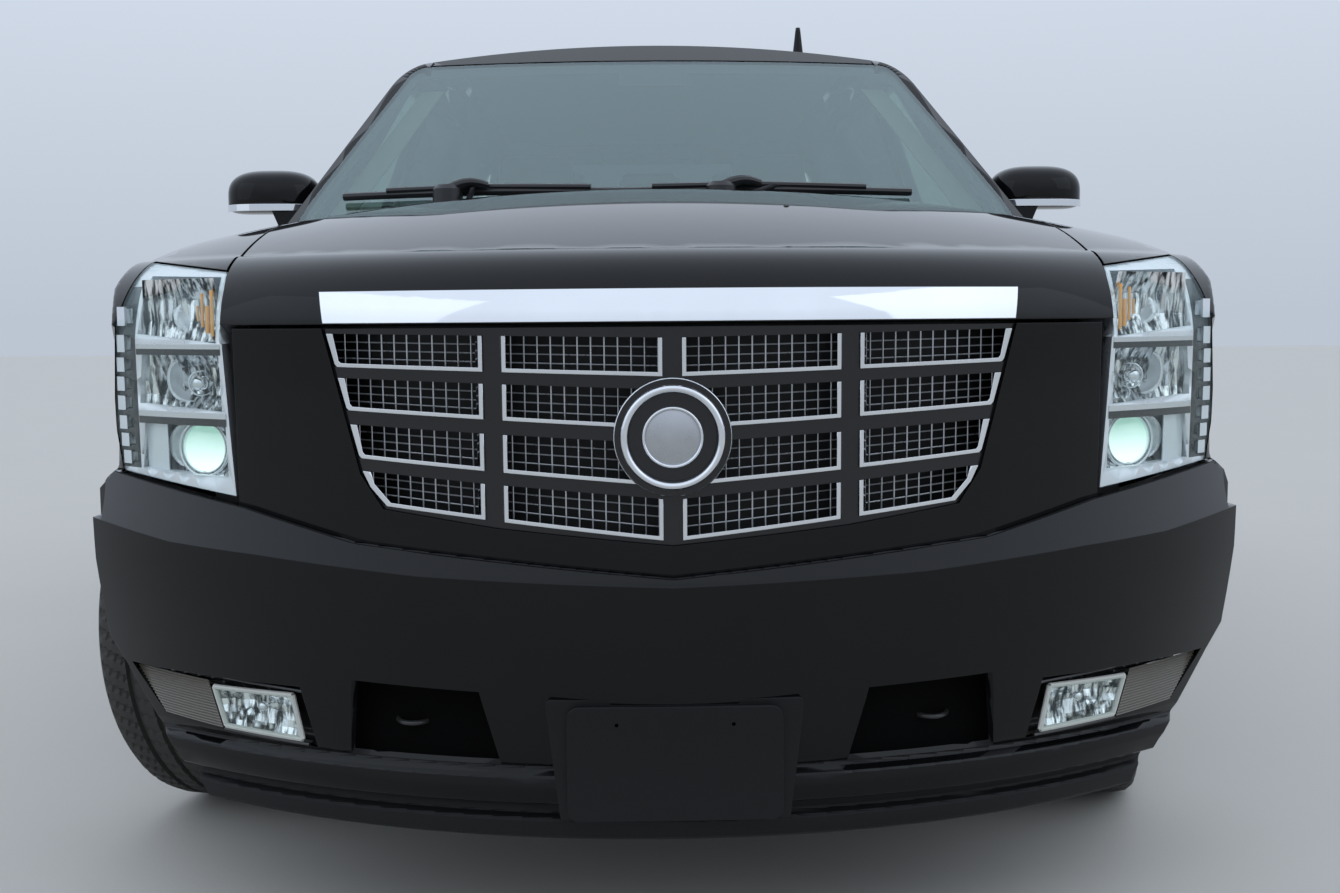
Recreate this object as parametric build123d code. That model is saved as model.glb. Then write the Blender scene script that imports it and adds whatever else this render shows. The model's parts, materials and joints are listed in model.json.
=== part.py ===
from build123d import *
import math
import os

# Full-size family SUV, left-hand drive, built as its real sub-parts.
# Millimetres. +Z is up, the front faces -Y, +X is the vehicle's left side.
# The origin is on the ground under the middle of the vehicle.

os.makedirs("parts", exist_ok=True)

# Overall size
LENGTH = 5143.0
HALF_W = 1003.5            # half of the body's width, mirrors folded out not counted
ROOF_Z = 1850.0
WHEELBASE = 2946.0
FRONT_AXLE_Y = -1566.0
REAR_AXLE_Y = FRONT_AXLE_Y + WHEELBASE

# Wheels
TYRE_R = 407.5
TYRE_W = 285.0
RIM_R = 286.0
RIM_W = 229.0
FRONT_TRACK = 1732.0
REAR_TRACK = 1702.0
KINGPIN_X = 800.0
REST_STEER = -15.0         # the front wheels stand turned towards the vehicle's right
ARCH_R = 475.0
SPOKES = 7
ROOF_PANEL_X = 640.0

# Body side: an arc in section below the belt line, leaning glass above it
SKIN_R = 1700.0
WAIST_Z = 720.0
BELT_Z = 1165.0
SILL_Z = 300.0
DOOR_SILL_Z = 430.0
GLASS_X0 = 930.0
GLASS_LEAN = 20.0
DOOR_TOP_Z = 1735.0

# Roof, windscreen and tail
ROOF_CROWN_R = 4600.0
ROOF_LONG_R = 11000.0
ROOF_TOP_Y = 800.0
ROOF_EDGE_R = 110.0
SCREEN_BASE = (-1180.0, 1255.0)
SCREEN_SLOPE = 30.3
SCREEN_PLAN_R = 2586.0
TAIL_KNEE = (2385.0, 1150.0)
TAIL_TOP = (2240.0, 1790.0)
TAIL_FOOT = (2425.0, 700.0)

# Nose: a surface of revolution about an upright axis near the cowl
NOSE_Y = -1141.0
NOSE_R = 1400.0
BUMPER_R = LENGTH / 2 + NOSE_Y

# Panels
DOOR_T = 70.0
FRAME_T = 32.0
PANEL_T = 26.0
PILLAR_IN = 82.0
UPPER_IN = 42.0
GAP = 6.0
REAR_BUMPER_TOP = 690.0
SEAT_GAP = 0.3

# Doors: front edges, split line and rear edge in side view
DOOR_FRONT_Y = -960.0
DOOR_SPLIT_Y = 165.0
DOOR_REAR_Y = 1095.0
HINGE_BACK = 40.0
HINGE_IN = 30.5
HINGE_Z = (600.0, 950.0)
PIN_R = 6.0
PIN_PLAY = 0.05
BEVEL_LOW = 0.08
BEVEL_TOP = 0.27


def save(name, *shapes):
    """Write one node: every separate solid of the shapes given."""
    solids = [s for shape in shapes for s in shape.solids()]
    part = solids[0] if len(solids) == 1 else Compound(solids)
    part.label = name
    export_step(part, f"parts/{name}.step")


def flip(shape):
    return mirror(shape, about=Plane.YZ)


def outline(points, radii=0):
    """A closed face through the points, its corners rounded by radii."""
    if radii:
        return make_face(FilletPolyline(*points, radius=radii, close=True))
    return make_face(Polyline(*points, close=True))


def along_x(face, x0, x1):
    """Extrude a (y, z) outline from x0 to x1."""
    return extrude(Plane(origin=(x0, 0, 0), x_dir=(0, 1, 0), z_dir=(1, 0, 0)) * face, amount=x1 - x0)


def along_y(face, y0, y1):
    """Extrude an (x, z) outline from y0 to y1."""
    return extrude(Plane(origin=(0, y1, 0), x_dir=(1, 0, 0), z_dir=(0, -1, 0)) * face, amount=y1 - y0)


def along_z(face, z0, z1):
    """Extrude an (x, y) outline from z0 to z1."""
    return extrude(Plane(origin=(0, 0, z0), x_dir=(1, 0, 0), z_dir=(0, 0, 1)) * face, amount=z1 - z0)


def block(x0, x1, y0, y1, z0, z1):
    return Pos((x0 + x1) / 2, (y0 + y1) / 2, (z0 + z1) / 2) * Box(x1 - x0, y1 - y0, z1 - z0)


def rod(start, end, radius):
    start, end = Vector(*start), Vector(*end)
    return extrude(Plane(origin=start, z_dir=end - start) * Circle(radius), amount=(end - start).length)


def drum(y, z, radius, x0, x1):
    """A cylinder along X."""
    return rod((x0, y, z), (x1, y, z), radius)


def ring_z(x, y, profile):
    """Revolve an (r, z) outline about an upright axis through (x, y)."""
    face = Plane(origin=(x, y, 0), x_dir=(1, 0, 0), z_dir=(0, -1, 0)) * profile
    return revolve(face, axis=Axis((x, y, 0), (0, 0, 1)))


def arc_x(z, inset=0.0):
    """Half width of the body side's arc at height z."""
    return HALF_W - SKIN_R + math.sqrt((SKIN_R - inset) ** 2 - (z - WAIST_Z) ** 2)


def skin_x(z, inset=0.0):
    """Half width of the painted side at height z, door skin or glasshouse."""
    if z <= BELT_Z:
        return arc_x(z, inset)
    lean = math.radians(GLASS_LEAN)
    return GLASS_X0 - (z - BELT_Z) * math.tan(lean) - inset / math.cos(lean)


# The body's outer form, each at an inset from the painted surface

def lower(inset, z0=150.0, z1=BELT_Z):
    """Body side below the belt: arcs in section, straight fore and aft."""
    right = ThreePointArc((arc_x(z0, inset), z0), (HALF_W - inset, WAIST_Z), (arc_x(z1, inset), z1))
    left = ThreePointArc((-arc_x(z1, inset), z1), (inset - HALF_W, WAIST_Z), (-arc_x(z0, inset), z0))
    ends = [Line(right @ 1, left @ 0), Line(left @ 1, right @ 0)]
    return along_y(make_face([e.edge() for e in (right, left, *ends)]), -2700, 2700)


def upper(inset):
    """Glasshouse: leaning sides under a roof crowned both ways, with a rounded edge."""
    low, high = BELT_Z - 60, ROOF_Z + 100
    lean = math.radians(GLASS_LEAN)

    def side(z):
        return GLASS_X0 - (z - BELT_Z) * math.tan(lean) - inset / math.cos(lean)

    body = along_y(outline([(-side(low), low), (side(low), low), (side(high), high), (-side(high), high)]),
                   -2000, 2700)
    half = 1100.0
    top = ROOF_Z - inset
    radius = ROOF_CROWN_R - inset
    edge_z = top - radius + math.sqrt(radius ** 2 - half ** 2)
    arc = ThreePointArc((half, edge_z), (0, top), (-half, edge_z))
    rest = Polyline((-half, edge_z), (-half, 900), (half, 900), (half, edge_z))
    cap = Plane(origin=(0, ROOF_TOP_Y, 0), x_dir=(1, 0, 0), z_dir=(0, -1, 0)) * make_face([arc.edge(), *rest.edges()])
    swing = Axis((0, ROOF_TOP_Y, ROOF_Z - ROOF_LONG_R), (1, 0, 0))
    body = body & revolve(cap.rotate(swing, -16), axis=swing, revolution_arc=32)
    edges = [e for e in body.edges() if e.length > 2000 and e.center().Z > 1600 and abs(e.center().X) > 500]
    return fillet(edges, ROOF_EDGE_R - inset)


def screen(inset):
    """Everything behind the windscreen, a plan arc carried up its slope."""
    slope = math.radians(SCREEN_SLOPE)
    y0 = SCREEN_BASE[0] + inset / math.sin(slope)
    half = 1150.0
    sag = SCREEN_PLAN_R - math.sqrt(SCREEN_PLAN_R ** 2 - half ** 2)
    arc = ThreePointArc((-half, y0 + sag), (0, y0), (half, y0 + sag))
    rest = Polyline((half, y0 + sag), (half, 5200), (-half, 5200), (-half, y0 + sag))
    face = make_face([arc.edge(), *rest.edges()])
    step = Vector(0, math.cos(slope), math.sin(slope))
    start = Vector(0, 0, SCREEN_BASE[1]) - step * 500
    return extrude(Plane(origin=start, z_dir=(0, 0, 1)) * face, amount=1900, dir=step)


def tail(inset, foot=TAIL_FOOT, knee=TAIL_KNEE, top=TAIL_TOP):
    """Everything ahead of the tail: two leaning faces with rounded plan corners."""
    shape = None
    for (ya, za), (yb, zb) in ((foot, knee), (knee, top)):
        y0 = ya - inset
        wide = HALF_W - inset
        plan = outline([(-wide - 60, -3000), (-wide - 60, y0 - 420), (-wide + 70, y0 - 120), (0, y0),
                        (wide - 70, y0 - 120), (wide + 60, y0 - 420), (wide + 60, -3000)],
                       [0, 300, 150, 2500, 150, 300, 0])
        step = Vector(0, yb - ya, zb - za).normalized()
        start = Vector(0, 0, za) - step * 900
        slab = extrude(Plane(origin=start, z_dir=(0, 0, 1)) * plan, amount=2600, dir=step)
        shape = slab if shape is None else shape & slab
    return shape


def nose(inset):
    """The nose, bonnet and wing tops as one revolved dome."""
    arc_top = ThreePointArc((0, 1290 - inset), (785, 1232 - inset), (1250 - 0.4 * inset, 1120 - 0.92 * inset))
    arc_lip = ThreePointArc(arc_top @ 1, (1368 - 0.75 * inset, 1068 - 0.66 * inset), (NOSE_R - inset, 1005))
    rest = Polyline(arc_lip @ 1, (NOSE_R - 14 - inset, 600), (NOSE_R - 14 - inset, 150), (0, 150), arc_top @ 0)
    face = make_face([arc_top.edge(), arc_lip.edge(), *rest.edges()])
    return ring_z(0, NOSE_Y, face)


def shifted(points, bevel):
    """Move an outline drawn on the skin to the plane x = HALF_W along the bevel."""
    return [(y + bevel * (HALF_W - skin_x(z)), z) for y, z in points]


def side_prism(points, bevel=0.0, radii=0, depth=500.0, margin=40.0):
    """A left-side outline (y, z) carried inboard, leaning forward as it goes."""
    face = Plane(origin=(HALF_W, 0, 0), x_dir=(0, 1, 0), z_dir=(1, 0, 0)) * outline(shifted(points, bevel), radii)
    step = Vector(-1, -bevel, 0)
    inward = extrude(face, amount=depth * step.length, dir=step)
    return inward + extrude(face, amount=margin * step.length, dir=-step)


def grown(points, by):
    """Outline moved outwards by a distance, for shut gaps; points run anticlockwise."""
    moved = []
    count = len(points)
    for i in range(count):
        (xa, ya), (xb, yb), (xc, yc) = points[i - 1], points[i], points[(i + 1) % count]
        la, lc = math.hypot(xb - xa, yb - ya), math.hypot(xc - xb, yc - yb)
        na, nc = ((yb - ya) / la, (xa - xb) / la), ((yc - yb) / lc, (xb - xc) / lc)
        share = by / (1 + na[0] * nc[0] + na[1] * nc[1])
        moved.append((xb + (na[0] + nc[0]) * share, yb + (na[1] + nc[1]) * share))
    return moved


low0, low_door, low_in = lower(0), lower(DOOR_T), lower(PILLAR_IN)
low_pillar = lower(PILLAR_IN + 60)
up0, up_door, up_in = upper(0), upper(FRAME_T), upper(UPPER_IN)
up_pillar = upper(UPPER_IN + 55)
nose0, nose1 = nose(0), nose(PANEL_T)
tail0 = tail(0)
screen0 = screen(0)

# Doors. Each outline is drawn on the skin in side view.
PILLAR_FOOT_Y = -905.0
DOORS = {
    # name: hinge line's front edge, outline below the belt, outline above it, window
    "front": {
        "edge": DOOR_FRONT_Y,
        "low": [(DOOR_FRONT_Y, DOOR_SILL_Z), (DOOR_SPLIT_Y, DOOR_SILL_Z), (DOOR_SPLIT_Y, BELT_Z),
                (DOOR_FRONT_Y, BELT_Z)],
        "top": [(PILLAR_FOOT_Y, BELT_Z), (DOOR_SPLIT_Y, BELT_Z), (DOOR_SPLIT_Y, DOOR_TOP_Z),
                (-205, DOOR_TOP_Z), (-330, 1655)],
        "window": [(-725, BELT_Z + 15), (DOOR_SPLIT_Y - 62, BELT_Z + 15), (DOOR_SPLIT_Y - 62, DOOR_TOP_Z - 45),
                   (-190, DOOR_TOP_Z - 45), (-275, 1612)],
    },
    "rear": {
        "edge": DOOR_SPLIT_Y + GAP,
        "low": [(DOOR_SPLIT_Y + GAP, DOOR_SILL_Z), (DOOR_REAR_Y, DOOR_SILL_Z), (DOOR_REAR_Y, BELT_Z),
                (DOOR_SPLIT_Y + GAP, BELT_Z)],
        "top": [(DOOR_SPLIT_Y + GAP, BELT_Z), (DOOR_REAR_Y, BELT_Z), (DOOR_REAR_Y, DOOR_TOP_Z),
                (DOOR_SPLIT_Y + GAP, DOOR_TOP_Z)],
        "window": [(DOOR_SPLIT_Y + 62, BELT_Z + 15), (DOOR_REAR_Y - 50, BELT_Z + 15),
                   (DOOR_REAR_Y - 50, DOOR_TOP_Z - 45), (DOOR_SPLIT_Y + 62, DOOR_TOP_Z - 45)],
    },
}
REAR_DOOR_ARC = ARCH_R + 50
HINGE_X = HALF_W - HINGE_IN


def nose_sweep(edge_y, extra):
    """The space a door's front edge sweeps about its hinge line."""
    heights = [DOOR_SILL_Z - 5 + i * (BELT_Z + 10 - DOOR_SILL_Z) / 4 for i in range(5)]
    heights = [min(z, BELT_Z) if i < 4 else BELT_Z + 5 for i, z in enumerate(heights)]
    radii = [math.hypot(skin_x(min(z, BELT_Z)) - HINGE_X, HINGE_BACK) + extra for z in heights]
    rim = list(zip(radii, heights))
    return ring_z(HINGE_X, edge_y + HINGE_BACK, outline([(0, heights[0]), *rim, (0, heights[-1])]))


def door_slab(spec, inner_low, inner_up):
    """One left door between the skin and an inner form, with its nose rounded."""
    slab = (low0 - inner_low) & side_prism(spec["low"], BEVEL_LOW)
    axis_y = spec["edge"] + HINGE_BACK
    ahead = block(600, 1100, spec["edge"] - 60, axis_y, 300, 1300)
    slab = (slab - ahead) + (slab & ahead & nose_sweep(spec["edge"], 0))
    frame = (up0 - inner_up) & side_prism(spec["top"], BEVEL_TOP)
    frame &= block(ROOF_PANEL_X + GAP, 1100, -2000, 2000, 0, 2000)
    return slab, frame


def hinge_cuts(edge_y, side_depth=200.0):
    """Pockets in the door's nose around the two hinges."""
    axis_y = edge_y + HINGE_BACK
    return [block(HINGE_X - side_depth, HINGE_X + 15, edge_y - 30, axis_y + 18, z - 30, z + 30) for z in HINGE_Z]


doors = {}
for name, spec in DOORS.items():
    slab, frame = door_slab(spec, low_door, up_door)
    window = side_prism(spec["window"], BEVEL_TOP, 30)
    door = slab + frame
    if name == "rear":
        door -= drum(REAR_AXLE_Y, TYRE_R, REAR_DOOR_ARC, 500, 1100)
    else:
        door -= nose_sweep(DOORS["rear"]["edge"], GAP - 0.5)
    door -= window
    axis_y = spec["edge"] + HINGE_BACK
    for pocket in hinge_cuts(spec["edge"]):
        door -= pocket
    for z in HINGE_Z:
        door += rod((HINGE_X, axis_y, z - 32), (HINGE_X, axis_y, z + 32), PIN_R)
    # Pull handle on the skin
    grip_y = spec["low"][1][0] - 150 if name == "front" else DOOR_REAR_Y - 150
    grip = block(HALF_W - 40, HALF_W + 26, grip_y - 105, grip_y + 105, 985, 1017)
    grip -= block(HALF_W - 60, HALF_W + 6, grip_y - 75, grip_y + 75, 975, 1030)
    door += grip - low_door
    glass = (upper(12) - upper(17)) & window
    save(f"door_{name}_left", door)
    save(f"door_{name}_right", flip(door))
    save(f"glass_{name}_left", glass)
    save(f"glass_{name}_right", flip(glass))
    doors[name] = door

# Body side frames: pillars inboard of the doors, sill, rear quarter and roof rail
axle_drum = drum(REAR_AXLE_Y, TYRE_R, ARCH_R, 560, 1100)
front_drum = drum(FRONT_AXLE_Y, TYRE_R, ARCH_R, 400, 1100)
SIDE_AREA = [(-1085, 480), (-1085, BELT_Z), (-960, 1290), (-200, 1800), (2500, 1800), (2500, 480)]
inner_low = (low_in - low_pillar) & block(500, 1100, -1085, 2300, SILL_Z + 20, BELT_Z) & tail(30)
inner_up = (up_in - up_pillar) & screen(35) & tail(30) & block(400, 1100, -1100, 2300, BELT_Z, 1800)
inner = inner_low + inner_up
APERTURES = (
    # y and z of each door aperture inside the shut line, pillar side kept for the hinges
    [(DOOR_FRONT_Y + 95, 480), (DOOR_SPLIT_Y - 75, 480), (DOOR_SPLIT_Y - 75, 1688), (-180, 1688), (-300, 1600),
     (DOOR_FRONT_Y + 160, 1210), (DOOR_FRONT_Y + 95, 1150)],
    [(DOOR_SPLIT_Y + 110, 480), (820, 480), (1020, 900), (1020, 1688), (DOOR_SPLIT_Y + 110, 1688)],
)
for hole in APERTURES:
    inner -= along_x(outline(hole, 40), 300, 1200)
quarter_low = [(DOOR_REAR_Y + GAP, BELT_Z), (DOOR_REAR_Y + GAP, 300), (2560, 300), (2560, BELT_Z)]
quarter = (low0 - low_in) & side_prism(quarter_low, BEVEL_LOW) & tail0
dog_leg = (low0 - low_in) & block(600, 1100, 600, DOOR_REAR_Y + 60, 390, BELT_Z)
dog_leg &= drum(REAR_AXLE_Y, TYRE_R, REAR_DOOR_ARC - GAP, 500, 1100)
quarter_up = (up0 - up_in) & side_prism([(DOOR_REAR_Y + GAP, BELT_Z), (2600, BELT_Z), (2600, 1900),
                                         (DOOR_REAR_Y + GAP, 1900)], BEVEL_TOP) & tail0
sill = (low0 - low_in) & block(500, 1100, -1085, 1100, SILL_Z, DOOR_SILL_Z - GAP)
rail = (up0 - up_in) & block(300, 1100, -400, 2400, DOOR_TOP_Z + GAP, 1900) & screen0 & tail0
# The A-pillar's outer face, ahead of the front door's frame
a_pillar = (up0 - up_in) & screen0 & block(300, 1100, -1200, DOOR_SPLIT_Y - 60, BELT_Z, 1900)
a_pillar -= side_prism(grown(DOORS["front"]["top"], GAP), BEVEL_TOP)
a_pillar -= nose(-3) & block(0, 1200, -1300, DOOR_FRONT_Y, 1100, 1300)
QUARTER_WINDOW = [(DOOR_REAR_Y + 60, BELT_Z + 30), (2060, BELT_Z + 30), (2010, DOOR_TOP_Z - 45),
                  (DOOR_REAR_Y + 60, DOOR_TOP_Z - 45)]
quarter_window = side_prism(QUARTER_WINDOW, 0, 40)
side = inner + quarter + dog_leg + quarter_up + sill + rail + a_pillar
side -= axle_drum
side -= quarter_window
side &= block(0, 1200, -3000, 3000, 0, 3000)
side -= block(0, 1200, REAR_AXLE_Y + ARCH_R - 30, 2700, 0, REAR_BUMPER_TOP + GAP)

# Roof panel between the side rails, with the header above the windscreen
GATE_TOP_Y = 2172.0
PANE_TOP_Z = 1737.0
roof_plan = block(-ROOF_PANEL_X, ROOF_PANEL_X, -1000, GATE_TOP_Y - GAP, 1500, 1950)
header = (screen0 - screen(PANEL_T)) & block(-1000, 1000, -1000, 0, PANE_TOP_Z + 4, 1950)
roof = ((up0 - upper(PANEL_T)) + (header & up0)) & roof_plan & screen0
roof -= block(-1000, 1000, -1100, 0, 1500, PANE_TOP_Z + 4)
antenna = Pos(450, 0, 1800) * Cone(18, 7, 94, align=(Align.CENTER, Align.CENTER, Align.MIN))
roof += antenna - upper(PANEL_T / 2)
side -= roof_plan

# Windscreen pane, bonded ahead of the pillars and seated on the cowl
COWL_IN = 34.0
pane_area = along_y(outline([(-900, 1150), (900, 1150), (862, 1300), (690, PANE_TOP_Z), (-690, PANE_TOP_Z),
                             (-862, 1300)], [0, 0, 200, 60, 60, 200]), -1400, 200)
windscreen = (screen0 - screen(6)) & upper(6) & pane_area - nose(COWL_IN)
for sign in (-1, 1):
    x0, x1 = sorted((sign * 740, sign * 1100))
    windscreen -= nose(-SEAT_GAP) & block(x0, x1, -1400, -800, 1100, 1300)
side -= (screen(-5) & pane_area & block(0, 1200, -1400, 300, 1000, 1900)) - screen(6.3)
save("windscreen", windscreen)
quarter_pane = (upper(4) - upper(9)) & quarter_window
save("quarter_glass", quarter_pane, flip(quarter_pane))

# Tail gate with its window, hinged at its top edge
GATE_HALF_LOW = 800.0
GATE_OUT = [(-GATE_HALF_LOW, 700), (GATE_HALF_LOW, 700), (GATE_HALF_LOW, BELT_Z), (655, 1900), (-655, 1900),
            (-GATE_HALF_LOW, BELT_Z)]
gate_form = (lower(0, z1=BELT_Z) + up0) & tail0
gate = gate_form - (tail(55) - block(-2000, 2000, -3000, 3000, 1740, 2000))
gate &= along_y(outline(GATE_OUT, [30, 30, 200, 20, 20, 200]), GATE_TOP_Y + 4, 2700)
gate_core = tail(55) & upper(30)
gate -= gate_core
gate_window_cut = along_y(outline([(-690, 1215), (690, 1215), (585, 1690), (-585, 1690)], 60), 1900, 2700)
gate -= gate_window_cut
gate_glass = (tail(10) - tail(16)) & gate_window_cut
gate_hole = along_y(outline(grown(GATE_OUT, GAP)), GATE_TOP_Y - GAP, 2700)
side -= gate_hole
GATE_AXIS = (GATE_TOP_Y - 4, 1766.0)

# Tail lamps stand at the corners beside the gate
lamp_area = along_y(outline([(806, 820), (1050, 820), (1050, 1240), (930, 1430), (735, 1430), (780, BELT_Z)], 20),
                    2150, 2700)
lamp_core = tail(75)
tail_lamp = (((low0 + up0) & tail(2)) - lamp_core) & lamp_area - gate_hole
side -= (tail(-5) - tail(77)) & lamp_area
save("tail_lamps", tail_lamp, flip(tail_lamp))

# Hinges of the gate: knuckles on the roof's rear edge hold the gate's pins
GATE_HINGE_X = 250.0
for x in (-GATE_HINGE_X, GATE_HINGE_X):
    ya, za = GATE_AXIS
    leaf = block(x - 24, x - 2, ya - 60, ya, za - 22, za - 2) + drum(ya, za, 11, x - 24, x - 2)
    roof -= drum(ya, za, 17, x, x + 30) + block(x - 30, x + 30, ya - 11, ya + 10, za - 40, za + 20)
    roof += leaf - drum(ya, za, PIN_R + PIN_PLAY, x - 40, x + 40)
    gate -= drum(ya, za, 17, x - 30, x)
    gate += block(x + 2, x + 24, ya, ya + 50, za - 22, za - 2) + drum(ya, za, 11, x + 2, x + 24)
    gate += drum(ya, za, PIN_R, x - 26, x + 24)
save("roof_panel", roof)
save("tailgate", gate)
save("tailgate_glass", gate_glass)

# Door hinges on the pillars
for spec in DOORS.values():
    axis_y = spec["edge"] + HINGE_BACK
    for z in HINGE_Z:
        arm = block(skin_x(z, PILLAR_IN + 30), HINGE_X, axis_y - 9, axis_y + 9, z - 26, z + 26)
        knuckle = rod((HINGE_X, axis_y, z - 26), (HINGE_X, axis_y, z + 26), 12)
        bore = rod((HINGE_X, axis_y, z - 40), (HINGE_X, axis_y, z + 40), PIN_R + PIN_PLAY)
        side += (arm + knuckle) - bore
save("side_frame_left", side)
save("side_frame_right", flip(side))


# Front view lines of the nose, half width and height
CREASE = [(0, 607), (390, 620), (660, 640), (830, 648), (1020, 674)]
JOIN = [(0, 616), (497, 663), (690, 710), (940, 749), (1020, 756)]
BUMPER_FOOT = [(785, 196), (840, 280), (887, 329), (945, 420), (1000, 480), (1020, 480)]
LAMP = [(705, 722), (945, 751), (962, 840), (950, 1000), (915, 1117), (727, 1093)]
GRILLE_OUT = [(0, 664), (270, 690), (450, 716), (486, 770), (544, 997)]
HOOD_FOOT_Z = 1003.0
FASCIA_X = 702.0
HOOD_SIDE = ((725.0, -2230.0), (812.0, -1160.0))
HOOD_BACK_Y = -1250.0
HOOD_AXIS = (-1118.0, 1212.0)


def mirrored(points):
    """A symmetric outline from its right half, listed upwards from the middle."""
    return [*points, *[(-x, z) for x, z in reversed(points) if x > 0]]


def front_cut(points, y0=-2700.0, y1=-1200.0):
    return along_y(outline(points), y0, y1)


# Bonnet: the dome's skin inside its shut lines
(hx0, hy0), (hx1, hy1) = HOOD_SIDE


def hood_plan(by):
    back = ThreePointArc((hx1 + by, hy1 + by), (0, HOOD_BACK_Y + by), (-hx1 - by, hy1 + by))
    rest = Polyline((-hx1 - by, hy1 + by), (-hx0 - by, hy0), (-hx0 - by, -2700), (hx0 + by, -2700), (hx0 + by, hy0),
                    (hx1 + by, hy1 + by))
    return along_z(make_face([back.edge(), *rest.edges()]), HOOD_FOOT_Z - by, 1400)


hood = (nose0 - nose1) & hood_plan(0)
# Hinge arms under the rear corners carry the pins
ARM_IN_X = 770.0
ARM_OUT_X = 784.0
PIN_END_X = 812.0
hood_axis_y, hood_axis_z = HOOD_AXIS
for sign in (-1, 1):
    x0, x1 = sorted((sign * ARM_IN_X, sign * ARM_OUT_X))
    arm = block(x0, x1, hood_axis_y - 112, hood_axis_y, hood_axis_z - 20, hood_axis_z + 20) & nose(PANEL_T - 5)
    hood += arm + drum(hood_axis_y, hood_axis_z, 11, x0, x1)
    hood += drum(hood_axis_y, hood_axis_z, PIN_R, *sorted((sign * ARM_IN_X, sign * PIN_END_X)))
# The chrome bar across the bonnet's front edge
BAR = [(-539, 1005), (539, 1005), (548, 1054), (-548, 1054)]
hood_trim = (nose(-10) - nose0) & front_cut(BAR) & block(-600, 600, -2700, -2300, 900, 1100)
save("hood", hood)
save("hood_trim", hood_trim)

# Headlamps: a housing with three chambers behind one clear cover
LAMP_CHAMBERS = (
    # height range, depth behind the skin, bowl radius
    (1000, 1082, 70, 34),
    (880, 984, 100, 46),
    (752, 862, 110, 48),
)
lamp_form = nose(4) & lower(4, z1=1300)
lamp_area_front = front_cut(grown(LAMP, -3), -2700, -1900)
lamp_back = ring_z(0, NOSE_Y, outline([(0, 500), (1215, 500), (1190, 1300), (0, 1300)]))
lamp_body = (lamp_form - lamp_back) & lamp_area_front
bowls = None
for z0, z1, deep, bowl_r in LAMP_CHAMBERS:
    inner_x = 705 + (z0 - 722) * 0.06 + 14
    chamber = front_cut([(inner_x, z0), (900, z0 + 12), (890, z1 + 6), (inner_x + 3, z1)], -2700, -1900)
    lamp_body -= chamber & (nose(0) - nose(deep + 10))
    cx, cz = 800.0, (z0 + z1) / 2 + 5
    face_y = NOSE_Y - math.sqrt((NOSE_R - 18) ** 2 - cx ** 2)
    back_y = face_y + deep + 60
    bowl = rod((cx, back_y, cz), (cx, face_y + 32, cz), bowl_r)
    bowl -= Pos(cx, face_y + 22, cz) * Sphere(bowl_r - 4)
    bowl += Pos(cx, face_y + 58, cz) * Sphere(14)
    bowl &= nose(20) - lamp_back
    lamp_body += bowl
for i in range(8):
    z = 772 + i * 36
    x0 = 912 + 8 * math.sin(math.pi * i / 7)
    lamp_body -= block(x0, x0 + 34, -2400, -2000, z, z + 22) & (nose(0) - nose(26)) & (lower(0) - lower(200))
lens = (nose0 & lower(0, z1=1300)) - lamp_form
lens &= lamp_area_front
lamp_body -= hood_plan(3)
lens -= hood_plan(3)
save("headlamps", lamp_body, flip(lamp_body))
save("headlamp_lenses", lens, flip(lens))

# Front wings
wing_z = 1300.0
wing = (nose0 & lower(0, z1=wing_z)) - (nose1 & lower(PANEL_T, z1=wing_z))
wing &= block(600, 1100, -2600, DOOR_FRONT_Y - GAP, DOOR_SILL_Z, wing_z)
wing -= hood_plan(GAP) + block(0, hx1 + GAP, -1300, -900, 1000, 1400)
wing -= front_cut(LAMP, -2700, -1900) + block(0, HOOD_SIDE[0][0] + GAP, -2700, -1900, 0, 1300)
wing -= drum(FRONT_AXLE_Y, TYRE_R, ARCH_R, 400, 1100)
wing -= front_cut([(0, 0), (1100, 0), (1100, 762), (940, 755), (0, 640)], -2700, FRONT_AXLE_Y)
wing -= nose_sweep(DOOR_FRONT_Y, GAP - 0.5)
save("front_fenders", wing, flip(wing))

# Fascia between the lamps, around the grille
fascia = (nose0 - nose1) & block(-FASCIA_X, FASCIA_X, -2700, -2100, 600, HOOD_FOOT_Z - GAP)
join_line = [(x, z + SEAT_GAP) for x, z in JOIN]
fascia -= front_cut([(-1020, 400), (1020, 400), *reversed(join_line), *[(-x, z) for x, z in join_line[1:]]])
grille_area = mirrored(GRILLE_OUT)
fascia -= front_cut(grille_area)
save("fascia", fascia)

# Grille: four rows of four openings between leaning bars, each with a bright lip
ROWS = (
    # top and bottom height at the middle, then at half width 540
    (980, 989, 922, 938),
    (902, 921, 842, 872),
    (820, 850, 755, 800),
    (735, 780, 671, 732),
)
BAR_HALF = 15.0
MID_BAR_X = 272.0
GRILLE_SLOPE = 0.26


def grille_window(row, column, inset):
    """The outline of one opening, on the side x > 0, counted outwards."""
    top0, top1, low0_z, low1_z = row

    def top(x):
        return top0 + (top1 - top0) * x / 540 - inset

    def bottom(x):
        return low0_z + (low1_z - low0_z) * x / 540 + inset

    x0 = (BAR_HALF if column == 0 else MID_BAR_X + BAR_HALF) + inset
    if column == 0:
        x1 = MID_BAR_X - BAR_HALF - inset
        return [(x0, bottom(x0)), (x1, bottom(x1)), (x1, top(x1)), (x0, top(x0))]
    xt = 536 - (989 - top1) * GRILLE_SLOPE - inset
    xb = 536 - (989 - low1_z) * GRILLE_SLOPE - inset
    cut = 26 if row is ROWS[-1] else 4
    return [(x0, bottom(x0)), (xb - cut, bottom(xb - cut)), (xb, bottom(xb) + cut), (xt, top(xt)), (x0, top(x0))]


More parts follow.
